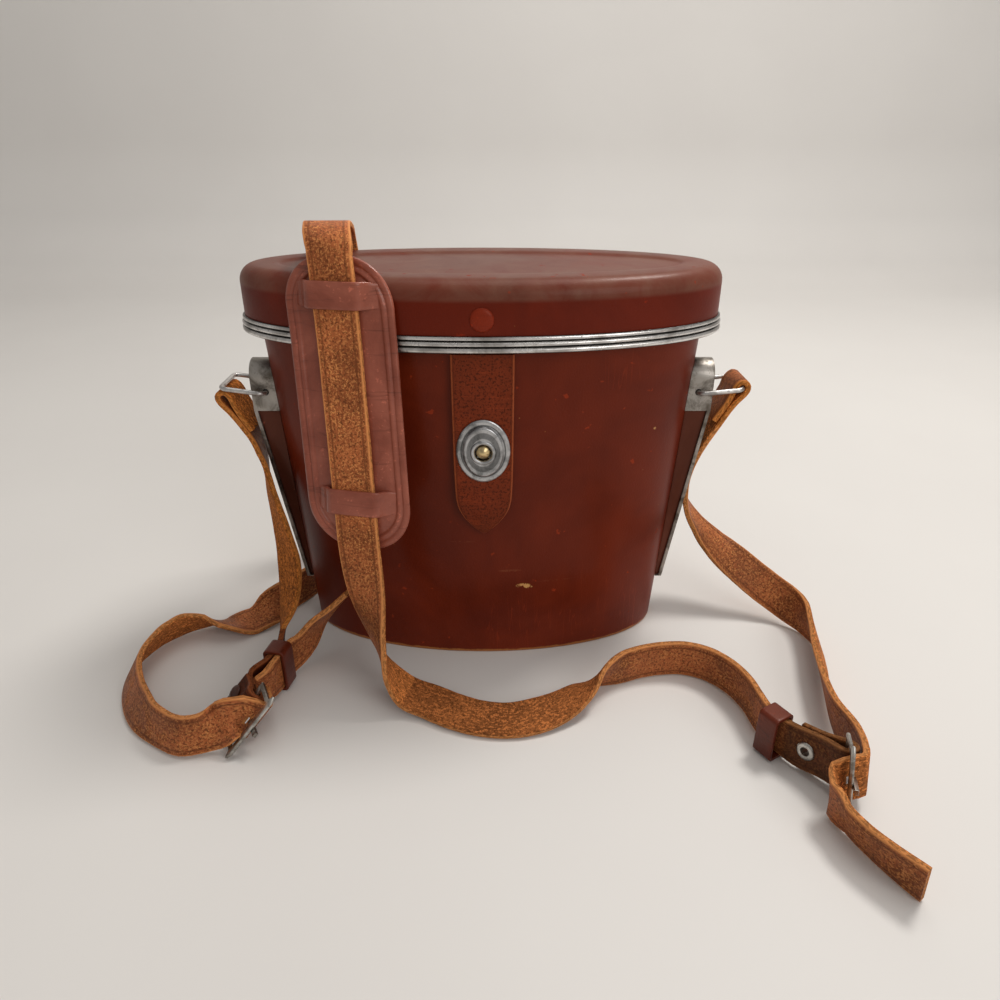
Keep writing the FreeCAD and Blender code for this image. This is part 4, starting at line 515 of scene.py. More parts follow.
def cloth(name, deep, light, pitch=1500):
    """A thin woven lining."""
    finish = Finish(name, Sheen_Weight=0.4, Sheen_Roughness=0.4, Specular_IOR_Level=0.2)
    x, y, z = finish.parts(finish.place)
    level = finish.math("SINE", finish.times(finish.plus(x, y), pitch * 2))
    upright = finish.math("SINE", finish.times(z, pitch * 2))
    weave = finish.times(level, upright)
    fuzz = finish.noise(700, 3, 0.7)
    colour = finish.mix(finish.step(finish.plus(weave, fuzz), 0.0, 1.2), deep, light)
    relief = finish.bump(weave, 0.00012, 0.5)
    return finish.done(colour, finish.spread(fuzz, 0.8, 0.95), finish.bump(fuzz, 0.0002, 0.4, relief))


# marks: (place, half width, half height, colour, share)
MARKS = [
    ((17.0, -34.1, 34.4), 3.4, 1.3, CHIP, 1.0),
    ((19.2, -34, 33.6), 2.0, 0.8, CHIP, 1.0),
    ((11.4, -34.6, 42.0), 5.5, 0.7, (0.19, 0.045, 0.016), 0.6),
    ((30, -32, 36.0), 9.0, 0.5, (0.17, 0.035, 0.012), 0.4),
    ((68.9, -20.5, 99.7), 0.9, 0.6, CHIP, 0.8),
    ((-8, -35, 56), 6.0, 0.5, (0.17, 0.035, 0.012), 0.35),
]
body_leather = moulded_leather("lacquered_body_leather", (0.098, 0.0088, 0.0015), (0.165, 0.0175, 0.0036),
                               MARKS)
lid_leather = moulded_leather("lacquered_lid_leather", (0.09, 0.0058, 0.0008), (0.145, 0.0108, 0.0018))
STRAP_GRAIN, STRAP_EDGE = (0.4, 0.115, 0.038), (0.62, 0.25, 0.08)
strap_finish = strap_leather("strap_leather", STRAP_GRAIN, (0.5, 0.17, 0.045), STRAP_EDGE, dusty=0.8)
# the front strap's end past x = 108.5 mm, at the buckle, gets painted shade
run_finish = strap_leather("front_strap_leather", STRAP_GRAIN, (0.36, 0.12, 0.034), STRAP_EDGE, dusty=0.8,
                           painted_shade_from_x=0.1085)
lug_strap_finish = strap_leather("side_strap_leather", (0.3, 0.08, 0.022), (0.4, 0.125, 0.024),
                                 (0.5, 0.18, 0.04))
end_finish = strap_leather("buckle_end_leather", (0.09, 0.019, 0.006), (0.16, 0.045, 0.014),
                           (0.22, 0.06, 0.018), dark=0.6, dusty=0.15)
keeper_finish = pressed_leather("keeper_leather", (0.075, 0.0095, 0.003), (0.12, 0.018, 0.0065), 1500, 0.25)
pad_leather = pressed_leather("pad_leather", (0.225, 0.052, 0.029), (0.345, 0.095, 0.057), 1100, 0.6)
tab_leather = strap_leather("tab_leather", (0.155, 0.0225, 0.0062), (0.16, 0.05, 0.018), (0.3, 0.07, 0.022),
                            creases=10.7, dark=0.7, dusty=0.1, half=TAB_HALF, furrow=0.45, wrinkled=0.22)
cap_leather = pressed_leather("cap_lacquer", (0.17, 0.0125, 0.002), (0.215, 0.0175, 0.0032), 1500, 0.06)
nickel = worn_metal("worn_nickel", (0.68, 0.66, 0.64), (0.33, 0.315, 0.30))
# the band's grooves get painted shade
trim_metal = worn_metal("trim_nickel", (0.74, 0.72, 0.70), (0.36, 0.34, 0.32), (0.16, 0.4), 70, 0.6,
                        grooves=((135.5, 0.5), (137.75, 0.52), (139.8, 0.5), (141.6, 0.4)))
bracket_metal = worn_metal("cast_bracket_metal", (0.40, 0.37, 0.335), (0.13, 0.11, 0.09), (0.32, 0.6), 120,
                           0.7)
# the plate's recessed rings round the stud get painted shade
plate_metal = worn_metal("catch_plate_metal", (0.50, 0.50, 0.505), (0.2, 0.2, 0.2), (0.2, 0.45), 150, 0.6,
                         rings=((0.43, 0.64, 0.6), (0.775, 0.86, 0.75)))
cap_dark = pressed_leather("dark_rivet_cap", (0.035, 0.008, 0.004), (0.06, 0.014, 0.006), 1500, 0.5)
inlay_leather = moulded_leather("inlay_leather", (0.085, 0.02, 0.01), (0.15, 0.042, 0.024))
steel = worn_metal("buckle_steel", (0.56, 0.54, 0.50), (0.2, 0.18, 0.155), (0.22, 0.45), 140, 0.8)
brass = worn_metal("stud_brass", (0.72, 0.55, 0.28), (0.42, 0.33, 0.2), (0.2, 0.4), 200, 0.6)
lining = cloth("plum_lining", (0.05, 0.014, 0.014), (0.11, 0.035, 0.034))
felt = cloth("plum_felt", (0.06, 0.016, 0.015), (0.13, 0.04, 0.036), 300)


# the body, the lid and their metal: tables of ovals, as (outwards in width, outwards in depth, height)

BASE_HALF, MOUTH_HALF, MOUTH_HEIGHT = (78.2, 34.8), (87.9, 35.5), 146.0
LID_HALF = (93.1, 40.7)
LID_LOW, LID_TOP = 136.2, 160.4
OVAL_SEGMENTS = 192


def walls(rows):
    """Rows (outwards, height) as ovals that grow evenly all round, or (radius, height) of a turned piece."""
    return [(out, out, level) for out, level in rows]


def arc(out, level, radius, first, last, steps):
    """Points of a rounded corner about (out, level), between two angles in degrees."""
    turns = [math.radians(first + (last - first) * step / steps) for step in range(steps + 1)]
    return [(out + radius * math.cos(turn), level + radius * math.sin(turn)) for turn in turns]


def ovals(name, rows, finish, half=(0.0, 0.0), slope=(0.0, 0.0), segments=OVAL_SEGMENTS, place=None):
    """A wall of ovals from rows, moved to its place by a matrix where one is given."""
    inputs = {"Ovals": len(rows), "Segments": segments, "Half_Width": half[0] * MM,
              "Half_Depth": half[1] * MM, "Width_Slope": slope[0], "Depth_Slope": slope[1], "Finish": finish}
    thing = grown(OVALS, name, rows, {}, inputs)
    if place:
        thing.data.transform(place)
    return thing


def case_body():
    slope = [(mouth - base) / MOUTH_HEIGHT for mouth, base in zip(MOUTH_HALF, BASE_HALF)]
    rows = [(-2.8, 0.0), (-1.4, 0.0), (-0.7, 0.08), (-0.2, 0.35), (0.0, 0.9)]
    rows += [(0.0, level) for level in (2.5, 12, 36, 60, 84, 108, 124, 136, 144)]
    rows += [(-0.1, 145.6), (-0.5, 145.95), (-2.3, 145.95), (-2.7, 145.6), (-2.8, 144), (-2.8, 0.0)]
    wall = ovals("body_leather_wall", walls(rows), body_leather, BASE_HALF, slope)
    settle(wall, "case", "body_leather", "body_shell")


def lid_cover():
    """From the lower edge up over the raised rim, to the sunk panel's middle and back on the inside."""
    wide, deep = LID_HALF
    under, panel, sunk = LID_TOP - 3.7, 17.6, LID_TOP - 0.9
    rows = walls([(-2.7, LID_LOW + 0.05), (-0.7, LID_LOW + 0.05), (-0.15, LID_LOW + 0.4), (0, 138),
                  (0.05, 146)] + arc(-6.5, LID_TOP - 6.5, 6.55, 0, 84, 9)
                 + [(-8.5, LID_TOP + 0.08), (-11.5, LID_TOP + 0.1), (-14.2, LID_TOP - 0.02),
                    (-15.2, LID_TOP - 0.22), (-15.9, LID_TOP - 0.6), (-16.7, LID_TOP - 0.86), (-panel, sunk)])
    rows += [(-panel - (wide - panel) * share, -panel - (deep - panel) * share, sunk + rise)
             for share, rise in ((0.25, 0.06), (0.5, 0.12), (0.75, 0.16), (1.0, 0.17))]
    rows += [(-wide, -deep, under), (-wide * 0.6, -deep * 0.6, under)]
    rows += walls(arc(-7.0, under - 4.2, 4.2, 90, 0, 5)
                  + [(-2.8, 148), (-2.8, LID_LOW + 0.3), (-2.7, LID_LOW + 0.05)])
    settle(ovals("lid_leather_cover", rows, lid_leather, LID_HALF), "lid", "lid_leather", "lid_shell")


# (outwards, height) of the band's three ridges
TRIM_ROWS = [
    (-1.1, 135.5), (0.5, 135.45), (1.0, 135.6), (1.4, 136.0), (1.5, 136.6), (1.35, 137.2), (0.8, 137.5),
    (0.45, 137.75), (0.8, 138.0), (1.25, 138.25), (1.35, 138.8), (1.2, 139.3), (0.7, 139.55), (0.35, 139.8),
    (0.55, 140.05), (0.95, 140.3), (1.0, 140.8), (0.85, 141.3), (0.45, 141.58), (0.1, 141.55), (0.1, 136.1),
    (-1.1, 136.1), (-1.1, 135.5)]


TAB_X, STUD_LEVEL, CAP_LEVEL = 1.0, 97.4, 147.2


def front_place(out, level):
    """A turned piece stands out of the front at this place, on the tab's middle line."""
    return Matrix.Translation(mm((TAB_X, -out, level))) @ Matrix.Rotation(math.radians(90), 4, "X")


PLATE_OUT, STUD_OUT, CAP_OUT = 38.55, 39.9, 40.72
PLATE_HALF = (10.2, 12.7)
# the collar: (radius, height), and the plate's steps: (outwards in width, outwards in height, forwards)
COLLAR_ROWS = [(4.9, 1.92), (4.6, 2.45), (4.3, 2.62), (3.7, 2.6), (3.35, 2.2), (3.2, 1.6), (3.2, 0.5)]
PLATE_ROWS = [
    (-0.6, -0.6, 0.05), (-0.05, -0.05, 0.1), (0, 0, 0.35), (-0.2, -0.2, 0.62), (-0.8, -0.8, 0.8),
    (-1.7, -1.7, 0.74), (-2.1, -2.1, 0.62), (-2.5, -2.5, 0.8), (-2.75, -2.75, 1.55), (-3.1, -3.1, 1.85),
    (-3.7, -3.7, 1.88), (-4.1, -4.3, 1.7), (-4.5, -5.4, 1.72), (-4.9, -6.9, 1.9)]
STUD_ROWS = [
    (0, 1.55), (0.5, 1.5), (1.1, 1.3), (1.6, 1.0), (2.1, 0.72), (2.6, 0.3), (2.75, -0.2), (2.6, -0.7),
    (1.9, -0.8), (1.75, -1.2), (1.75, -5.6), (0, -5.6)]
CAP_ROWS = [
    (0, 1.12), (1.5, 1.1), (2.9, 0.95), (3.7, 0.72), (4.15, 0.4), (4.28, 0.12), (4.2, 0.02), (3.5, -0.12),
    (0, -0.12)]


def snap():
    """The catch plate in its steps, the collar, the stud in its bore, and the cap of the tab's rivet."""
    wide, tall = PLATE_HALF
    collar = [(radius - wide, radius - tall, level) for radius, level in COLLAR_ROWS]
    plate = ovals("catch_plate_face", collar[-1:] + PLATE_ROWS + collar, plate_metal, PLATE_HALF, segments=96,
                  place=front_place(PLATE_OUT, STUD_LEVEL))
    settle(plate, "tab", "nickel", "catch_plate")
    stud = ovals("snap_stud_dome", walls(STUD_ROWS), brass, segments=48,
                 place=front_place(STUD_OUT, STUD_LEVEL))
    settle(stud, "case", "brass", "snap_stud")
    cap = ovals("tab_rivet_cap", walls(CAP_ROWS), cap_leather, segments=64,
                place=front_place(CAP_OUT, CAP_LEVEL))
    settle(cap, "lid", "tab_leather", "tab_rivet")


case_body()
lid_cover()
settle(ovals("lid_trim_moulding", walls(TRIM_ROWS), trim_metal, LID_HALF), "lid", "nickel", "lid_trim_band")
snap()


# strips and wires: stations are (x, y, z, direction of the width), the same places as in the CAD

def held(side, *places):
    """Stations whose width points the same way."""
    return [(*place, *side) for place in places]


STATIONS = {
    "left_strap_fold": held(
        (0, 1, 0),
        (-95.9, 0, 93.5), (-100.1, 0, 100.9), (-101.5, 0, 104), (-102.3, 0, 106.5), (-103.5, 0, 108.8),
        (-104.9, 0, 109.9), (-106.7, 0, 109.6), (-107.9, 0, 108.2), (-107.6, 0, 106.3), (-106.2, 0, 104.2),
        (-104.5, 0, 102.3), (-102.5, 0, 99.5)),
    "left_lug_hang": [
        (-98.2, 0, 92.2, 0, 1, 0), (-94, -5, 81, -0.25, 0.97, 0), (-89.5, -14, 67.5, -0.45, 0.89, 0),
        (-85, -21.5, 54, -0.6, 0.8, 0), (-82.5, -26, 42, -0.71, 0.71, 0),
        (-83, -31.5, 26, -0.63, 0.65, -0.42),
    ],
    "left_buckle_strap": [
        (-85, -41, 14, -0.25, 0.3, -0.92), (-83.6, -51.5, 9.8, 0, 0, -1), (-85, -59.4, 9.8, 0, 0, -1),
        *held((-0.62, -0.31, -0.72),
              (-92.8, -72.7, 10.4), (-90.3, -77.7, 10.4), (-89, -79.5, 10), (-87.8, -80.7, 9.5),
              (-87, -82.1, 9.4), (-86.6, -84.1, 10), (-87.5, -85.4, 11.3), (-89.1, -85.3, 12.6),
              (-90.4, -83.9, 13.2), (-91.1, -82.4, 13.1), (-91.3, -80.6, 12.6), (-92, -78.5, 12.2),
              (-94.5, -73.6, 12.3)),
    ],
    "strap_left_bow": [
        (-55, -37, 34, 0.02, 0.92, -0.38), (-61.5, -38.5, 28, 0.02, 0.9, -0.42),
        (-69, -41, 21, 0.08, 0.78, -0.62), (-75.8, -46, 11.8, 0.1, 0.3, -0.95),
        (-80.4, -52.1, 9.8, 0, 0, -1), (-81.9, -59.9, 9.8, 0, 0, -1), (-84.2, -67.2, 9.6, -0.09, 0.02, -1),
        *held((-0.62, -0.31, -0.72),
              (-88.7, -72.5, 6.7), (-86.4, -76.9, 6.7), (-84.6, -81.6, 7.2), (-83.5, -85.8, 8.4),
              (-85.9, -88.1, 11.5), (-88.7, -89.8, 14.7)),
        (-97.5, -92.6, 10.2, -0.6, -0.3, -0.74), (-108, -94.6, 9, -0.3, -0.15, -0.94),
        (-120.2, -88.6, 8.5, -0.1, -0.29, -0.95), (-129.5, -80.2, 7.9, -0.25, -0.47, -0.85),
        (-137, -70, 7.9, -0.4, -0.36, -0.84), (-142.6, -56.5, 8, -0.5, -0.08, -0.86),
        (-143.4, -43, 7.8, -0.48, 0.3, -0.82), (-139.8, -31.6, 7.7, -0.2, 0.55, -0.81),
        (-133.4, -24.6, 7.8, 0, 0.55, -0.83), (-125.2, -21.8, 7.3, 0.02, 0.66, -0.75),
        (-116.5, -21.2, 5.2, 0.05, 0.89, -0.45), (-106.8, -15.6, 2.7, 0.15, 0.98, 0.12),
        (-95, -5, 8, 0.15, 0.5, 0.85),
    ],
    "strap_back_drop": [
        (-86, 8, 8.4, 0, 0.12, 1), (-77, 26, 8.5, 0, 0, 1), (-70, 40, 9.9, 0.1, -0.2, 0.97),
        (-66, 50, 21, 0.3, -0.55, 0.8), (-65.5, 54, 45, 0.7, -0.7, 0.1), (-65, 53, 80, 0.93, -0.3, 0),
    ],
    "strap_back_bend": [
        (-64.2, 51.3, 112, 1, 0, 0), (-63.6, 50.5, 129.9, 1, 0, 0),
    ],
    "strap_over_lid": [
        *held((1, 0, 0),
              (-63, 50, 141), (-63, 48, 149.1), (-62.8, 43, 157.5)),
        (-61.4, 32, 164, 1, 0.1, 0), (-58.9, 17, 168.8, 1, 0.15, 0), (-56.2, 0, 172.9, 1, 0.12, 0),
        (-54, -17, 175.9, 1, 0.05, 0), (-52.3, -27, 176.4, 1, -0.05, 0), (-51, -33.8, 174.6, 1, -0.1, 0),
        (-50, -37.2, 171.3, 1, -0.15, 0),
        *held((0.98, -0.21, 0),
              (-50, -37.8, 168.5), (-49.7, -38.5, 163.3), (-49.4, -39.4, 155.5), (-49, -40.4, 147.7),
              (-48.8, -41, 142.5), (-48.6, -41.6, 138.7), (-48.4, -42.4, 134.6), (-48.1, -44, 127.3),
              (-47.2, -48.3, 106.5), (-46.3, -52.7, 85.7), (-46, -53.8, 80.5)),
    ],
    "strap_front_drop": [
        (-45.6, -56.1, 69.4, 0.98, -0.21, 0), (-43.8, -60.5, 52, 0.93, -0.37, 0),
        (-41, -63, 30.9, 0.55, -0.83, 0), (-36, -66.5, 14.4, 0.1, -0.99, 0),
    ],
    "strap_front_run": [
        (-29.5, -67.8, 6.1, -0.25, -0.97, -0.05), (-20, -70.5, 3.6, -0.4, -0.91, -0.12),
        (-11, -75, 3.1, -0.35, -0.93, -0.13), (1.2, -78.9, 2.6, -0.1, -0.99, -0.13),
        (12, -79.6, 2.6, 0.1, -0.99, -0.13), (22, -77.4, 3.1, 0.3, -0.95, -0.12),
        (32.1, -72.3, 3.9, 0.45, -0.89, 0.1), (40.3, -66.3, 6, 0.45, -0.78, 0.45),
        (48, -60.5, 8, 0.2, -0.4, 0.9), (57, -55.6, 8.5, 0, -0.05, 1),
        *held((0, 0, 1),
              (66, -51.8, 8.5), (75, -49.8, 8.5), (83.6, -49.6, 8.5), (92, -52.8, 8.5), (99, -60.4, 8.8),
              (103.6, -71.6, 9.2), (104.9, -82, 9.6), (106, -89, 9.8), (110, -96, 9.8)),
        *held((-0.05, 0.2, 0.98),
              (113.5, -100.2, 9.7), (118.7, -106.7, 11.3), (120.4, -109.5, 12), (121.4, -111.9, 12.6),
              (122.9, -113.9, 13), (124.7, -114.9, 13.3), (126.7, -114.3, 13.3), (127.7, -112.6, 13),
              (127.1, -110.6, 12.6), (125.5, -108.8, 12.1), (123.3, -107.3, 11.7), (120.8, -105, 11.1),
              (115.7, -98.5, 9.5)),
    ],
    "right_strap_fold": held(
        (0, 1, 0),
        (95.9, 0, 97.8), (100.2, 0, 105.2), (101.6, 0, 108.3), (102.3, 0, 110.8), (103.5, 0, 113),
        (105, 0, 114.2), (106.8, 0, 113.9), (107.9, 0, 112.5), (107.7, 0, 110.6), (106.3, 0, 108.5),
        (104.5, 0, 106.6), (102.5, 0, 103.8)),
    "right_lug_hang": [
        (98.3, 0, 96.4, 0, 1, 0), (94.2, 4.5, 85, 0, 1, 0), (92, 9, 73, 0.05, 1, 0),
        (91.6, 12.5, 61, 0.05, 1, 0), (93.8, 13.5, 49.5, 0.1, 0.99, 0.1), (100, 11, 39.6, 0.1, 0.95, 0.3),
    ],
    "right_lug_run": [
        (108, 6.3, 31.5, 0, 0.83, 0.56), (118, 1, 23.9, 0.05, 0.66, 0.75),
        (130, -5.5, 15.5, 0.2, 0.51, 0.84), (138.7, -12, 10.9, 0.3, 0.3, 0.91),
        (143.6, -21, 9.1, 0, 0.1, 0.99), (144.3, -33, 8.8, -0.35, 0, 0.94), (141, -48, 8.8, -0.45, 0, 0.89),
        (135.8, -68, 9.3, -0.3, 0.1, 0.95), (132.8, -86, 10.2, -0.15, 0.25, 0.96),
        *held((-0.05, 0.2, 0.98),
              (132, -104.8, 13.2), (130.8, -111.9, 13.6), (128.5, -117.4, 14), (122.9, -118.8, 14),
              (119.3, -119.7, 12), (116.7, -122.9, 10.5)),
        (118.5, -131, 9.1, -0.35, 0.2, 0.92), (122, -139, 8.8, -0.4, 0.15, 0.9),
        (127, -147, 8.6, -0.4, 0.2, 0.9), (132, -154, 8.6, -0.4, 0.3, 0.87),
    ],
}
CHAINS = (("strap_left_bow", "strap_back_drop", "strap_back_bend", "strap_over_lid", "strap_front_drop",
           "strap_front_run"), ("left_strap_fold", "left_lug_hang", "left_buckle_strap"),
          ("right_strap_fold", "right_lug_hang", "right_lug_run"))
STEP = 2.0
STRAP_THICK_HALF = 1.14
WANDER_PITCH = 260.0


def measured(rows):
    """Sections (place, side, face, length) from rows of a place, a side and the way along."""
    sections, length = [], 0.0
    for index, (place, side, along) in enumerate(rows):
        length += (place - rows[index - 1][0]).length if index else 0.0
        sections.append((place, side, along.cross(side), length))
    return sections


def smooth(stations):
    """Sections along a curve through the stations, and where each station is among them."""
    places, sides = [Vector(row[:3]) for row in stations], [Vector(row[3:]) for row in stations]
    spans = [(ahead - behind).length for behind, ahead in zip(places, places[1:])]
    final = len(spans) - 1

    def slope(values, index):
        if index in (0, final + 1):
            near = min(index, final)
            return (values[near + 1] - values[near]) / spans[near]
        back, ahead = spans[index - 1], spans[index]
        before, after = values[index] - values[index - 1], values[index + 1] - values[index]
        return (before * (ahead / back) + after * (back / ahead)) / (back + ahead)

    def curve(values, index, weights):
        """The two stations' values and slopes, weighted."""
        span = spans[index]
        return (values[index] * weights[0] + slope(values, index) * (weights[1] * span)
                + values[index + 1] * weights[2] + slope(values, index + 1) * (weights[3] * span))

    rows, marks = [], []
    for index, span in enumerate(spans):
        steps = max(2, round(span / STEP))
        marks.append(len(rows))
        for step in range(steps + (index == final)):
            part = step / steps
            square, cube = part**2, part**3
            here = (2 * cube - 3 * square + 1, cube - 2 * square + part, 3 * square - 2 * cube, cube - square)
            turn = (6 * square - 6 * part, 3 * square - 4 * part + 1, 6 * part - 6 * square,
                    3 * square - 2 * part)
            along, side = curve(places, index, turn).normalized(), curve(sides, index, here)
            side = (side - along * side.dot(along)).normalized()
            rows.append((curve(places, index, here), side, along))
    marks.append(len(rows) - 1)
    return measured(rows), marks


def rounded(half_wide, half_thick, corner, across=6, turns=3):
    """The outline of a strip's cross-section, from the middle of the face on round."""
    quarter = arc(half_wide - corner, half_thick - corner, corner, 0, 90, turns)
    flat = [((half_wide - corner) * (1 - 2 * step / across), half_thick) for step in range(1, across)]
    left = [(-x, y) for x, y in reversed(quarter)]
    top = quarter + flat + left
    return [(x, y, 0) for x, y in top + [(-x, -y) for x, y in top]]


def strip(name, sections, finish, outline, shares=None, caps=True, wander=0.0):
    """A solid strip through sections. Each end is closed with a flat cap."""
    shares = [float(share) for share in shares or [1.0] * len(sections)]
    if caps:
        sections = [sections[0], *sections, sections[-1]]
        shares = [0.0, *shares, 0.0]
    spare = len(outline)
    columns = {"side": [tuple(row[1]) for row in sections] + [(0, 0, 0)] * spare,
               "face": [tuple(row[2]) for row in sections] + [(0, 0, 0)] * spare,
               "share": shares + [0.0] * spare,
               "length": [row[3] * MM for row in sections] + [0.0] * spare}
    inputs = {"Stations": len(sections), "Outline": spare, "Wander": wander * MM,
              "Wander_Pitch": WANDER_PITCH, "Finish": finish}
    points = [tuple(row[0]) for row in sections] + outline
    return grown(STRIP, name, points, columns, inputs)


# bodies at the ends of the straps that reach from one body to another, with the ends' places
BENDS = {
    "strap_back_bend": ("case", "lid", (-64.2, 51.3, 112.0), (-63.0, 50.0, 141.0)),
    "strap_front_drop": ("lid", "case", (-46.0, -54.0, 80.0), (-29.5, -67.8, 6.1)),
    "left_lug_hang": ("left_loop_body", "case", (-98.2, 0.0, 92.2), (-85.0, -41.0, 14.0)),
    "right_lug_hang": ("right_loop_body", "case", (98.3, 0.0, 96.4), (108.0, 6.3, 31.5)),
}
RIDES = {"strap_over_lid": "lid", "left_strap_fold": "left_loop_body", "right_strap_fold": "right_loop_body"}
STRAP_FINISHES = {"left_strap_fold": lug_strap_finish, "left_lug_hang": lug_strap_finish,
                  "right_strap_fold": lug_strap_finish, "left_buckle_strap": end_finish,
                  "strap_front_run": run_finish}


def straps():
    """Each route cut into the CAD's pieces. A piece reaches the first station of the next one."""
    outline = rounded(STRAP_HALF, STRAP_THICK_HALF, 0.45)
    for names in CHAINS:
        sections, marks = smooth([row for name in names for row in STATIONS[name]])
        start = 0
        for name in names:
            end = start + len(STATIONS[name])
            last = marks[min(end, len(marks) - 1)]
            piece = strip(name + "_leather", sections[marks[start]:last + 1],
                          STRAP_FINISHES.get(name, strap_finish), outline, wander=0.35)
            cut_away(piece, holes_in(name))
            start = end
            if name in BENDS:
                first, second, low, high = BENDS[name]
                settle(piece, first, "strap_leather", name, to=second, start=low, end=high)
            else:
                settle(piece, RIDES.get(name, "case"), "strap_leather", name)


class Spot:
    """Axes of a buckle or a keeper: across, along, and out of both."""

    def __init__(self, origin, across, along):
        self.origin, self.across = Vector(origin), Vector(across).normalized()
        self.out = self.across.cross(Vector(along)).normalized()
        self.along = self.out.cross(self.across)

    def at(self, x, y, z):
        return self.origin + self.across * x + self.along * y + self.out * z

    def matrix(self, x=0.0, y=0.0, z=0.0):
        """Puts a piece made along X, Y and Z at a place on the spot's own axes."""
        turn = Matrix((self.across, self.along, self.out)).transposed().to_4x4()
        return Matrix.Translation(self.at(x, y, z) * MM) @ turn


LEFT_BUCKLE = Spot((-88.7, -83.0, 11.3), (0.62, 0.31, 0.72), (0.45, -0.89, 0))
RIGHT_BUCKLE = Spot((125.0, -112.3, 12.8), (-0.05, 0.2, 0.978), (-0.3, -0.876, 0.377))
LEFT_KEEPER = Spot((-84.3, -55.4, 9.8), (0, 0, 1), (0.18, 0.98, 0))
RIGHT_KEEPER = Spot((108.03, -92.5, 9.8), (0, 0, 1), (-0.5, 0.86, 0))
EYELET_AWAY, EYELET_ALONG = 13.5, Vector((0.62, -0.77, 0.19))
EYELET_ALONG = (EYELET_ALONG - RIGHT_BUCKLE.across * EYELET_ALONG.dot(RIGHT_BUCKLE.across)).normalized()
EYELET = Spot(RIGHT_BUCKLE.origin - EYELET_ALONG * EYELET_AWAY, RIGHT_BUCKLE.across, EYELET_ALONG)


def cutter(size, place):
    """A box that cuts a hole."""
    mesh = bpy.data.meshes.new("cutter")
    shape = bmesh.new()
    bmesh.ops.create_cube(shape, size=1.0)
    shape.to_mesh(mesh)
    shape.free()
    mesh.transform(place @ Matrix.Diagonal((*mm(size), 1.0)))
    return linked("cutter", mesh)


def bar(radius, place, segments=32):
    """A round bar that cuts a hole."""
    rows = [(0, -6), (radius, -6), (radius, 6), (0, 6)]
    return ovals("cutter", walls(rows), None, segments=segments, place=place)


PRONG_HOLES = {
    "strap_left_bow": ((2.7, 4.5, 6), LEFT_BUCKLE.matrix(0, 9.2, 2.5)),
    "right_lug_run": ((2.7, 5.0, 6), RIGHT_BUCKLE.matrix(0, 10.0, 2.0)),
    "left_buckle_strap": ((2.7, 9.0, 9), LEFT_BUCKLE.matrix(0, 1.0, 0)),
    "strap_front_run": ((2.7, 9.0, 9), RIGHT_BUCKLE.matrix(0, 1.0, 0)),
}


def holes_in(name):
    """The cutters of a strap: for the buckle's prong, and for the eyelet."""
    holes = [cutter(*PRONG_HOLES[name])] if name in PRONG_HOLES else []
    if name == "strap_front_run":
        holes.append(bar(2.3, EYELET.matrix()))
    return holes


def cut_away(piece, holes):
    """Cuts holes into a piece, and takes the cutters away."""
    for hole in holes:
        step = piece.modifiers.new("hole", "BOOLEAN")
        step.operation, step.solver, step.object = "DIFFERENCE", "EXACT", hole
    if holes:
        plain_mesh(piece)
    for hole in holes:
        bpy.data.objects.remove(hole)


straps()


# the tab

TAB_TOP_LEVEL, TAB_OUT, ROOT_OUT = 134.4, 37.5, 37.0
# (below the top, share of the full width)
TAB_SHARES = [
    (0, 1.0), (8, 1.0), (20, 0.995), (32, 0.99), (42, 0.985), (50, 0.97), (55, 0.955), (58, 0.935),
    (60, 0.9), (62, 0.85), (64, 0.76), (66, 0.65), (68, 0.5), (70, 0.33), (71.5, 0.18), (72.5, 0.08),
    (73, 0.03)]


def front_sections(out, levels, start=0.0):
    """Sections of a strip that stands upright in front of the case."""
    return [(Vector((TAB_X, -out, level)), Vector((1, 0, 0)), Vector((0, -1, 0)), abs(start - level))
            for level in levels]


def tab():
    sections = front_sections(TAB_OUT, [TAB_TOP_LEVEL - drop for drop, _ in TAB_SHARES], TAB_TOP_LEVEL)
    flap = strip("closure_tab_leather", sections, tab_leather, rounded(TAB_HALF, 1.0, 0.45, 12),
                 [share for _, share in TAB_SHARES], wander=0.25)
    cut_away(flap, [bar(3.2, front_place(TAB_OUT, STUD_LEVEL), 48)])
    settle(flap, "tab", "tab_leather", "closure_tab")
    sections = front_sections(ROOT_OUT, (149.9, 142, 135.3))
    root = strip("tab_root_leather", sections, tab_leather, rounded(11.4, 0.42, 0.2))
    cut_away(root, [bar(1.6, front_place(TAB_OUT, CAP_LEVEL))])
    settle(root, "lid", "tab_leather", "tab_root")


tab()


# the wire loops, the keepers, the eyelet and the rivet of the strap's end

def rounded_path(half_x, low_y, high_y, bend, steps=6):
    """Places (x, y, way along) round a closed rectangle with round corners."""
    rows = []
    corners = ((half_x, high_y, 0), (-half_x, high_y, 90), (-half_x, low_y, 180), (half_x, low_y, 270))
    for x, y, first in corners:
        cx, cy = x - math.copysign(bend, x), (high_y - bend if y == high_y else low_y + bend)
        for step in range(steps + 1):
            turn = math.radians(first + 90 * step / steps)
            along, up = math.cos(turn), math.sin(turn)
            rows.append((cx + bend * along, cy + bend * up, -up, along))
    return rows + rows[:1]


def closed_strip(name, rows, place, x_way, y_way, side, finish, outline):
    """A strip round a closed path in a plane. Its width points along side."""
    path = [(place + x_way * x + y_way * y, side, x_way * along_x + y_way * along_y)
            for x, y, along_x, along_y in rows]
    return strip(name, measured(path), finish, outline, caps=False)


def wire_outline(radius, sides=14):
    return [(radius * math.cos(math.tau * step / sides), radius * math.sin(math.tau * step / sides), 0)
            for step in range(sides)]


# bracket's side, and how far the loop hangs out of level in degrees
LOOPS = {"right_loop": (1, 6), "left_loop": (-1, 8)}
PIVOT_X, PIVOT_LEVEL = 88.1, 110
LOOP_HALF, LOOP_REACH, LOOP_BEND, WIRE_RADIUS = 9.6, 17.6, 2.6, 0.95


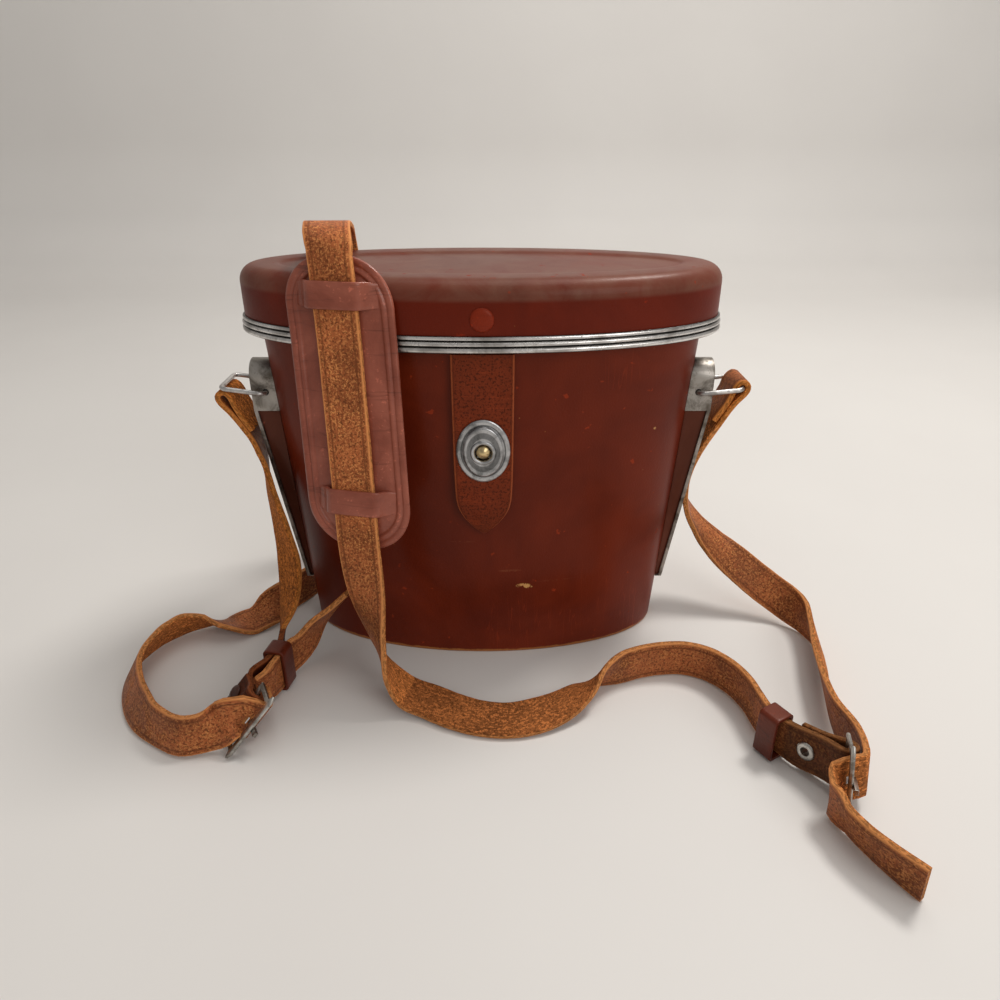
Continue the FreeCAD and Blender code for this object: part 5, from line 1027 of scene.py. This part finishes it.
def loops():
    deep = Vector((0, 1, 0))
    path = rounded_path(LOOP_HALF, 0.0, LOOP_REACH, LOOP_BEND)
    for name, (sign, tilt) in LOOPS.items():
        tilt = math.radians(tilt)
        out = Vector((sign * math.cos(tilt), 0, math.sin(tilt)))
        pivot = Vector((sign * PIVOT_X, 0, PIVOT_LEVEL))
        wire = closed_strip(name + "_wire", path, pivot, deep, out, deep.cross(out), nickel,
                            wire_outline(WIRE_RADIUS))
        settle(wire, name + "_body", "nickel", name)


def keepers():
    outline = rounded(4.0, 0.68, 0.35)
    for name, spot, low, high in (("left_keeper", LEFT_KEEPER, -5.4, 2.2),
                                  ("right_keeper", RIGHT_KEEPER, -2.2, 5.4)):
        band = closed_strip(name + "_leather", rounded_path(9.0, low, high, 1.3, 5), spot.origin,
                            spot.across, spot.out, spot.along, keeper_finish, outline)
        settle(band, "case", "strap_leather", name)


EYELET_REACH, RIVET_REACH = 2.6, 2.9


def eyelet_and_rivet():
    top, foot = EYELET_REACH, -EYELET_REACH
    ring = [(1.7, foot - 0.45), (2.5, foot - 0.62), (3.2, foot - 0.38), (3.4, foot), (2.25, foot),
            (2.25, top), (3.4, top), (3.2, top + 0.38), (2.5, top + 0.62), (1.9, top + 0.45), (1.7, top),
            (1.7, foot - 0.45)]
    settle(ovals("right_eyelet", walls(ring), steel, segments=48, place=EYELET.matrix()),
           "case", "nickel", "right_grommet")
    top, foot = RIVET_REACH, -RIVET_REACH
    dome = [(0, foot - 0.95), (1.2, foot - 0.88), (2.3, foot - 0.6), (3.0, foot - 0.25), (3.2, foot),
            (2.9, foot + 0.1), (1.0, foot + 0.1), (1.0, top - 0.1), (2.1, top - 0.05), (2.1, top + 0.15),
            (1.5, top + 0.3), (0, top + 0.32)]
    settle(ovals("left_strap_rivet_cap", walls(dome), cap_dark, segments=48,
                 place=LEFT_BUCKLE.matrix(0, -8.3, 0)), "case", "nickel", "left_strap_rivet")


loops()
keepers()
eyelet_and_rivet()


# the shoulder pad, mapped on a line that leans with the strap

PAD_LOW, PAD_HIGH, PAD_HALF, PAD_BACK = 64.0, 168.0, 20.0, 1.5
PAD_YAW = math.radians(12)
PAD_TOP_X, PAD_LEAN = -49, 0.044
PAD_BEND_LEVEL, PAD_BEND_REACH, SLOPE_ABOVE, SLOPE_BELOW = 138.5, 14, 0.114, 0.2
TRIM_HALF = (94.6, 42.2)
# (inwards from the edge, out of the pad's middle)
PAD_RINGS = [
    (19.5, -1.5), (10, -1.5), (3, -1.5), (0.7, -1.42), (0.2, -1.1), (0.0, -0.6), (0.05, -0.1), (0.35, 0.3),
    (0.9, 0.55), (1.6, 0.6), (2.15, 0.42), (2.45, 0.12), (2.75, 0.14), (3.05, 0.5), (3.5, 0.82),
    (4.0, 0.88), (4.45, 0.62), (4.75, 0.3), (5.1, 0.24), (5.6, 0.42), (6.6, 0.7), (8.2, 0.95),
    (10.5, 1.15), (13.5, 1.3), (17, 1.38), (19.5, 1.4)]
PAD_CORNER, PAD_TURN, PAD_END_STEPS, PAD_SIDE_STEPS = 17.0, 14, 6, 26


def pad_line(level):
    """The middle of the pad at a height, the direction of its width, and its face. The pad lies against
    the trim's ridge, and its slope changes there."""
    slant = math.tan(PAD_YAW)
    x = PAD_TOP_X + PAD_LEAN * (PAD_HIGH - level)
    y = -math.hypot(TRIM_HALF[1], TRIM_HALF[0] * slant) - slant * x - 0.4
    y += (SLOPE_ABOVE if level > PAD_BEND_LEVEL else SLOPE_BELOW) * (level - PAD_BEND_LEVEL)
    middle, half = (SLOPE_BELOW + SLOPE_ABOVE) / 2, (SLOPE_BELOW - SLOPE_ABOVE) / 2
    soft = middle + half * max(-1.0, min(1.0, (PAD_BEND_LEVEL - level) / PAD_BEND_REACH))
    side = Vector((math.cos(PAD_YAW), -math.sin(PAD_YAW), 0))
    down = Vector((0, -soft, -1)).normalized()
    face = down.cross(side).normalized()
    return Vector((x, y, level)) + face * PAD_BACK, side, face


def pad_point(across, level, height):
    middle, side, face = pad_line(level)
    return middle + side * across + face * height


def pad_outline(inset):
    """Points (across, up) round the pad at a distance from its edge."""
    half, reach = PAD_HALF - inset, (PAD_HIGH - PAD_LOW) / 2 - inset
    corner = max(min(PAD_CORNER - inset * 0.85, half), min(half, 0.4))
    ends = []
    for first, cx, cy in ((0, 1, 1), (90, -1, 1), (180, -1, -1), (270, 1, -1)):
        ends += arc(cx * (half - corner), cy * (reach - corner), corner, first, first + 90, PAD_TURN)
        if first in (0, 180):
            x, y = ends[-1]
            ends += [(x - 2 * cx * (half - corner) * step / PAD_END_STEPS, y)
                     for step in range(1, PAD_END_STEPS)]
    outline = []
    for (x, y), (next_x, next_y) in zip(ends, ends[1:] + ends[:1]):
        outline.append((x, y))
        if abs(next_y - y) > 20 and abs(next_x - x) < 1e-6:
            outline += [(x, y + (next_y - y) * step / PAD_SIDE_STEPS) for step in range(1, PAD_SIDE_STEPS)]
    return outline


def piece_of(name, shape, finish):
    """A smooth object from a bmesh."""
    mesh = bpy.data.meshes.new(name)
    shape.to_mesh(mesh)
    shape.free()
    for face in mesh.polygons:
        face.use_smooth = True
    mesh.materials.append(finish)
    return linked(name, mesh)


def pad():
    """Rounded rings from the back over the rim, its groove and its ridge, to the slightly crowned middle."""
    centre = (PAD_HIGH + PAD_LOW) / 2
    shape = bmesh.new()
    rings = [[shape.verts.new(mm(pad_point(x, centre + y, height))) for x, y in pad_outline(inset)]
             for inset, height in PAD_RINGS]
    for lower, upper in zip(rings, rings[1:]):
        for index in range(len(lower)):
            ahead = (index + 1) % len(lower)
            shape.faces.new((lower[index], lower[ahead], upper[ahead], upper[index]))
    for ring in (rings[0], rings[-1]):
        shape.faces.new(ring)
    bmesh.ops.recalc_face_normals(shape, faces=shape.faces)
    piece = outward(piece_of("shoulder_pad_leather", shape, pad_leather))
    settle(piece, "lid", "pad_leather", "shoulder_pad")


# half of a bridge from its foot to its middle: (across, out of the pad)
BRIDGE_HALF = [(14.6, -0.35), (13.4, 0.3), (12.2, 1.15), (11.0, 2.2), (10.0, 3.7), (9.2, 4.75), (7.6, 5.15),
               (4, 5.25)]
BRIDGE_SHARES = [0.9, 0.94, 0.97] + [1.0] * 11 + [0.97, 0.94, 0.9]


def pad_bridge(name, level):
    """A leather bridge that the strap runs under."""
    middle, side, face = pad_line(level)
    down = side.cross(face)
    path = [(-x, y) for x, y in BRIDGE_HALF] + [(0, 5.3)] + BRIDGE_HALF[::-1]
    points = [middle + side * x + face * (y + 0.1) for x, y in path]
    ways = [(ahead - behind).normalized()
            for behind, ahead in zip(points[:1] + points, points[1:] + points[-1:])]
    sections = measured([(point, down, along) for point, along in zip(points, ways)])
    bridge = strip(name, sections, pad_leather, rounded(4.7, 0.75, 0.5, 8), BRIDGE_SHARES)
    settle(bridge, "lid", "pad_leather")


pad()
pad_bridge("pad_bridge_low", 82.5)
pad_bridge("pad_bridge_high", 155.0)


# metal that keeps its CAD shape, with softened edges or as it is

def softened(node, name, finish, body, slot, width, steps=3, angle=30):
    """A copy of a CAD node with its flat faces joined and its edges rounded."""
    shape = bmesh.new()
    shape.from_mesh(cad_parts[node].data)
    bmesh.ops.remove_doubles(shape, verts=shape.verts, dist=2e-6)
    bmesh.ops.dissolve_limit(shape, angle_limit=math.radians(1.5), verts=shape.verts, edges=shape.edges)
    piece = piece_of(name, shape, finish)
    edge = piece.modifiers.new("edges", "BEVEL")
    edge.width, edge.segments, edge.limit_method = width * MM, steps, "ANGLE"
    edge.angle_limit, edge.harden_normals = math.radians(angle), True
    plain_mesh(piece)
    return settle(piece, body, slot, node)


for side in ("left", "right"):
    softened(side + "_lug_bracket", side + "_bracket_casting", bracket_metal, "case", "painted_metal", 0.5)
    softened(side + "_lug_inlay", side + "_bracket_inlay", inlay_leather, "case", "body_leather", 0.3, 2)
    softened(side + "_buckle_frame", side + "_buckle_bent_frame", steel, "case", "nickel", 0.55)
    softened(side + "_buckle_prong", side + "_buckle_round_prong", steel, "case", "nickel", 0.4)

CAD_FINISHES = (
    (body_leather, ["body_bottom"]),
    (lining, ["body_lining", "lid_lining"]),
    (felt, ["bottom_felt"]),
    (nickel, ["mouth_band", "hinge_lid_leaf", "hinge_body_leaf", "hinge_pin", "hinge_lid_rivets",
              "hinge_body_rivets", "tab_rivet_burr", "catch_backplate", "snap_escutcheon", "left_lug_rivets",
              "right_lug_rivets"]),
    (steel, ["catch_spring"]),
)
for finish, nodes in CAD_FINISHES:
    for node in nodes:
        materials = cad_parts[node].data.materials
        materials.clear()
        materials.append(finish)


# the stage

def stage():
    """A pale floor that runs up into a backdrop, and soft light."""
    paint = Finish("pale_floor", roughness=0.6)
    tone = paint.mix(paint.step(paint.noise(6, 3), 0.3, 0.7), (0.685, 0.662, 0.635), (0.70, 0.678, 0.65))
    paint.done(tone)
    rows = [(-4.0, 0.0), (0.75, 0.0), (0.86, 0.02), (0.94, 0.08), (0.97, 0.18), (0.97, 1.6)]
    faces = [(2 * row, 2 * row + 1, 2 * row + 3, 2 * row + 2) for row in range(len(rows) - 1)]
    mesh = bpy.data.meshes.new("floor")
    mesh.from_pydata([(x, y, z) for y, z in rows for x in (-4.0, 4.0)], [], faces)
    mesh.materials.append(paint.material)
    floor = linked("floor", mesh)
    for face in mesh.polygons:
        face.use_smooth = True
    for name, place, aim, size, power, tint in LAMPS:
        lamp = bpy.data.lights.new(name, "AREA")
        lamp.shape, lamp.size, lamp.energy, lamp.color = "DISK", size, power, tint
        holder = linked(name, lamp)
        holder.location = place
        holder.rotation_euler = (Vector(aim) - Vector(place)).to_track_quat("-Z", "Y").to_euler()
    world = bpy.data.worlds.new("room")
    world.use_nodes = True
    scene.world = world
    sky = world.node_tree.nodes["Background"]
    sky.inputs["Color"].default_value = (0.95, 0.92, 0.89, 1.0)
    sky.inputs["Strength"].default_value = 0.4


LAMPS = [("key", (0.5, 0.3, 1.1), (0, 0, 0.08), 0.3, 7.0, (1.0, 0.97, 0.93)),
         ("ceiling", (0.15, 0.2, 1.4), (0, 0, 0.05), 1.0, 4.5, (1.0, 0.98, 0.95)),
         ("front_fill", (0.75, -1.0, 0.7), (0, 0, 0.08), 0.8, 4.5, (1.0, 0.98, 0.96))]
stage()
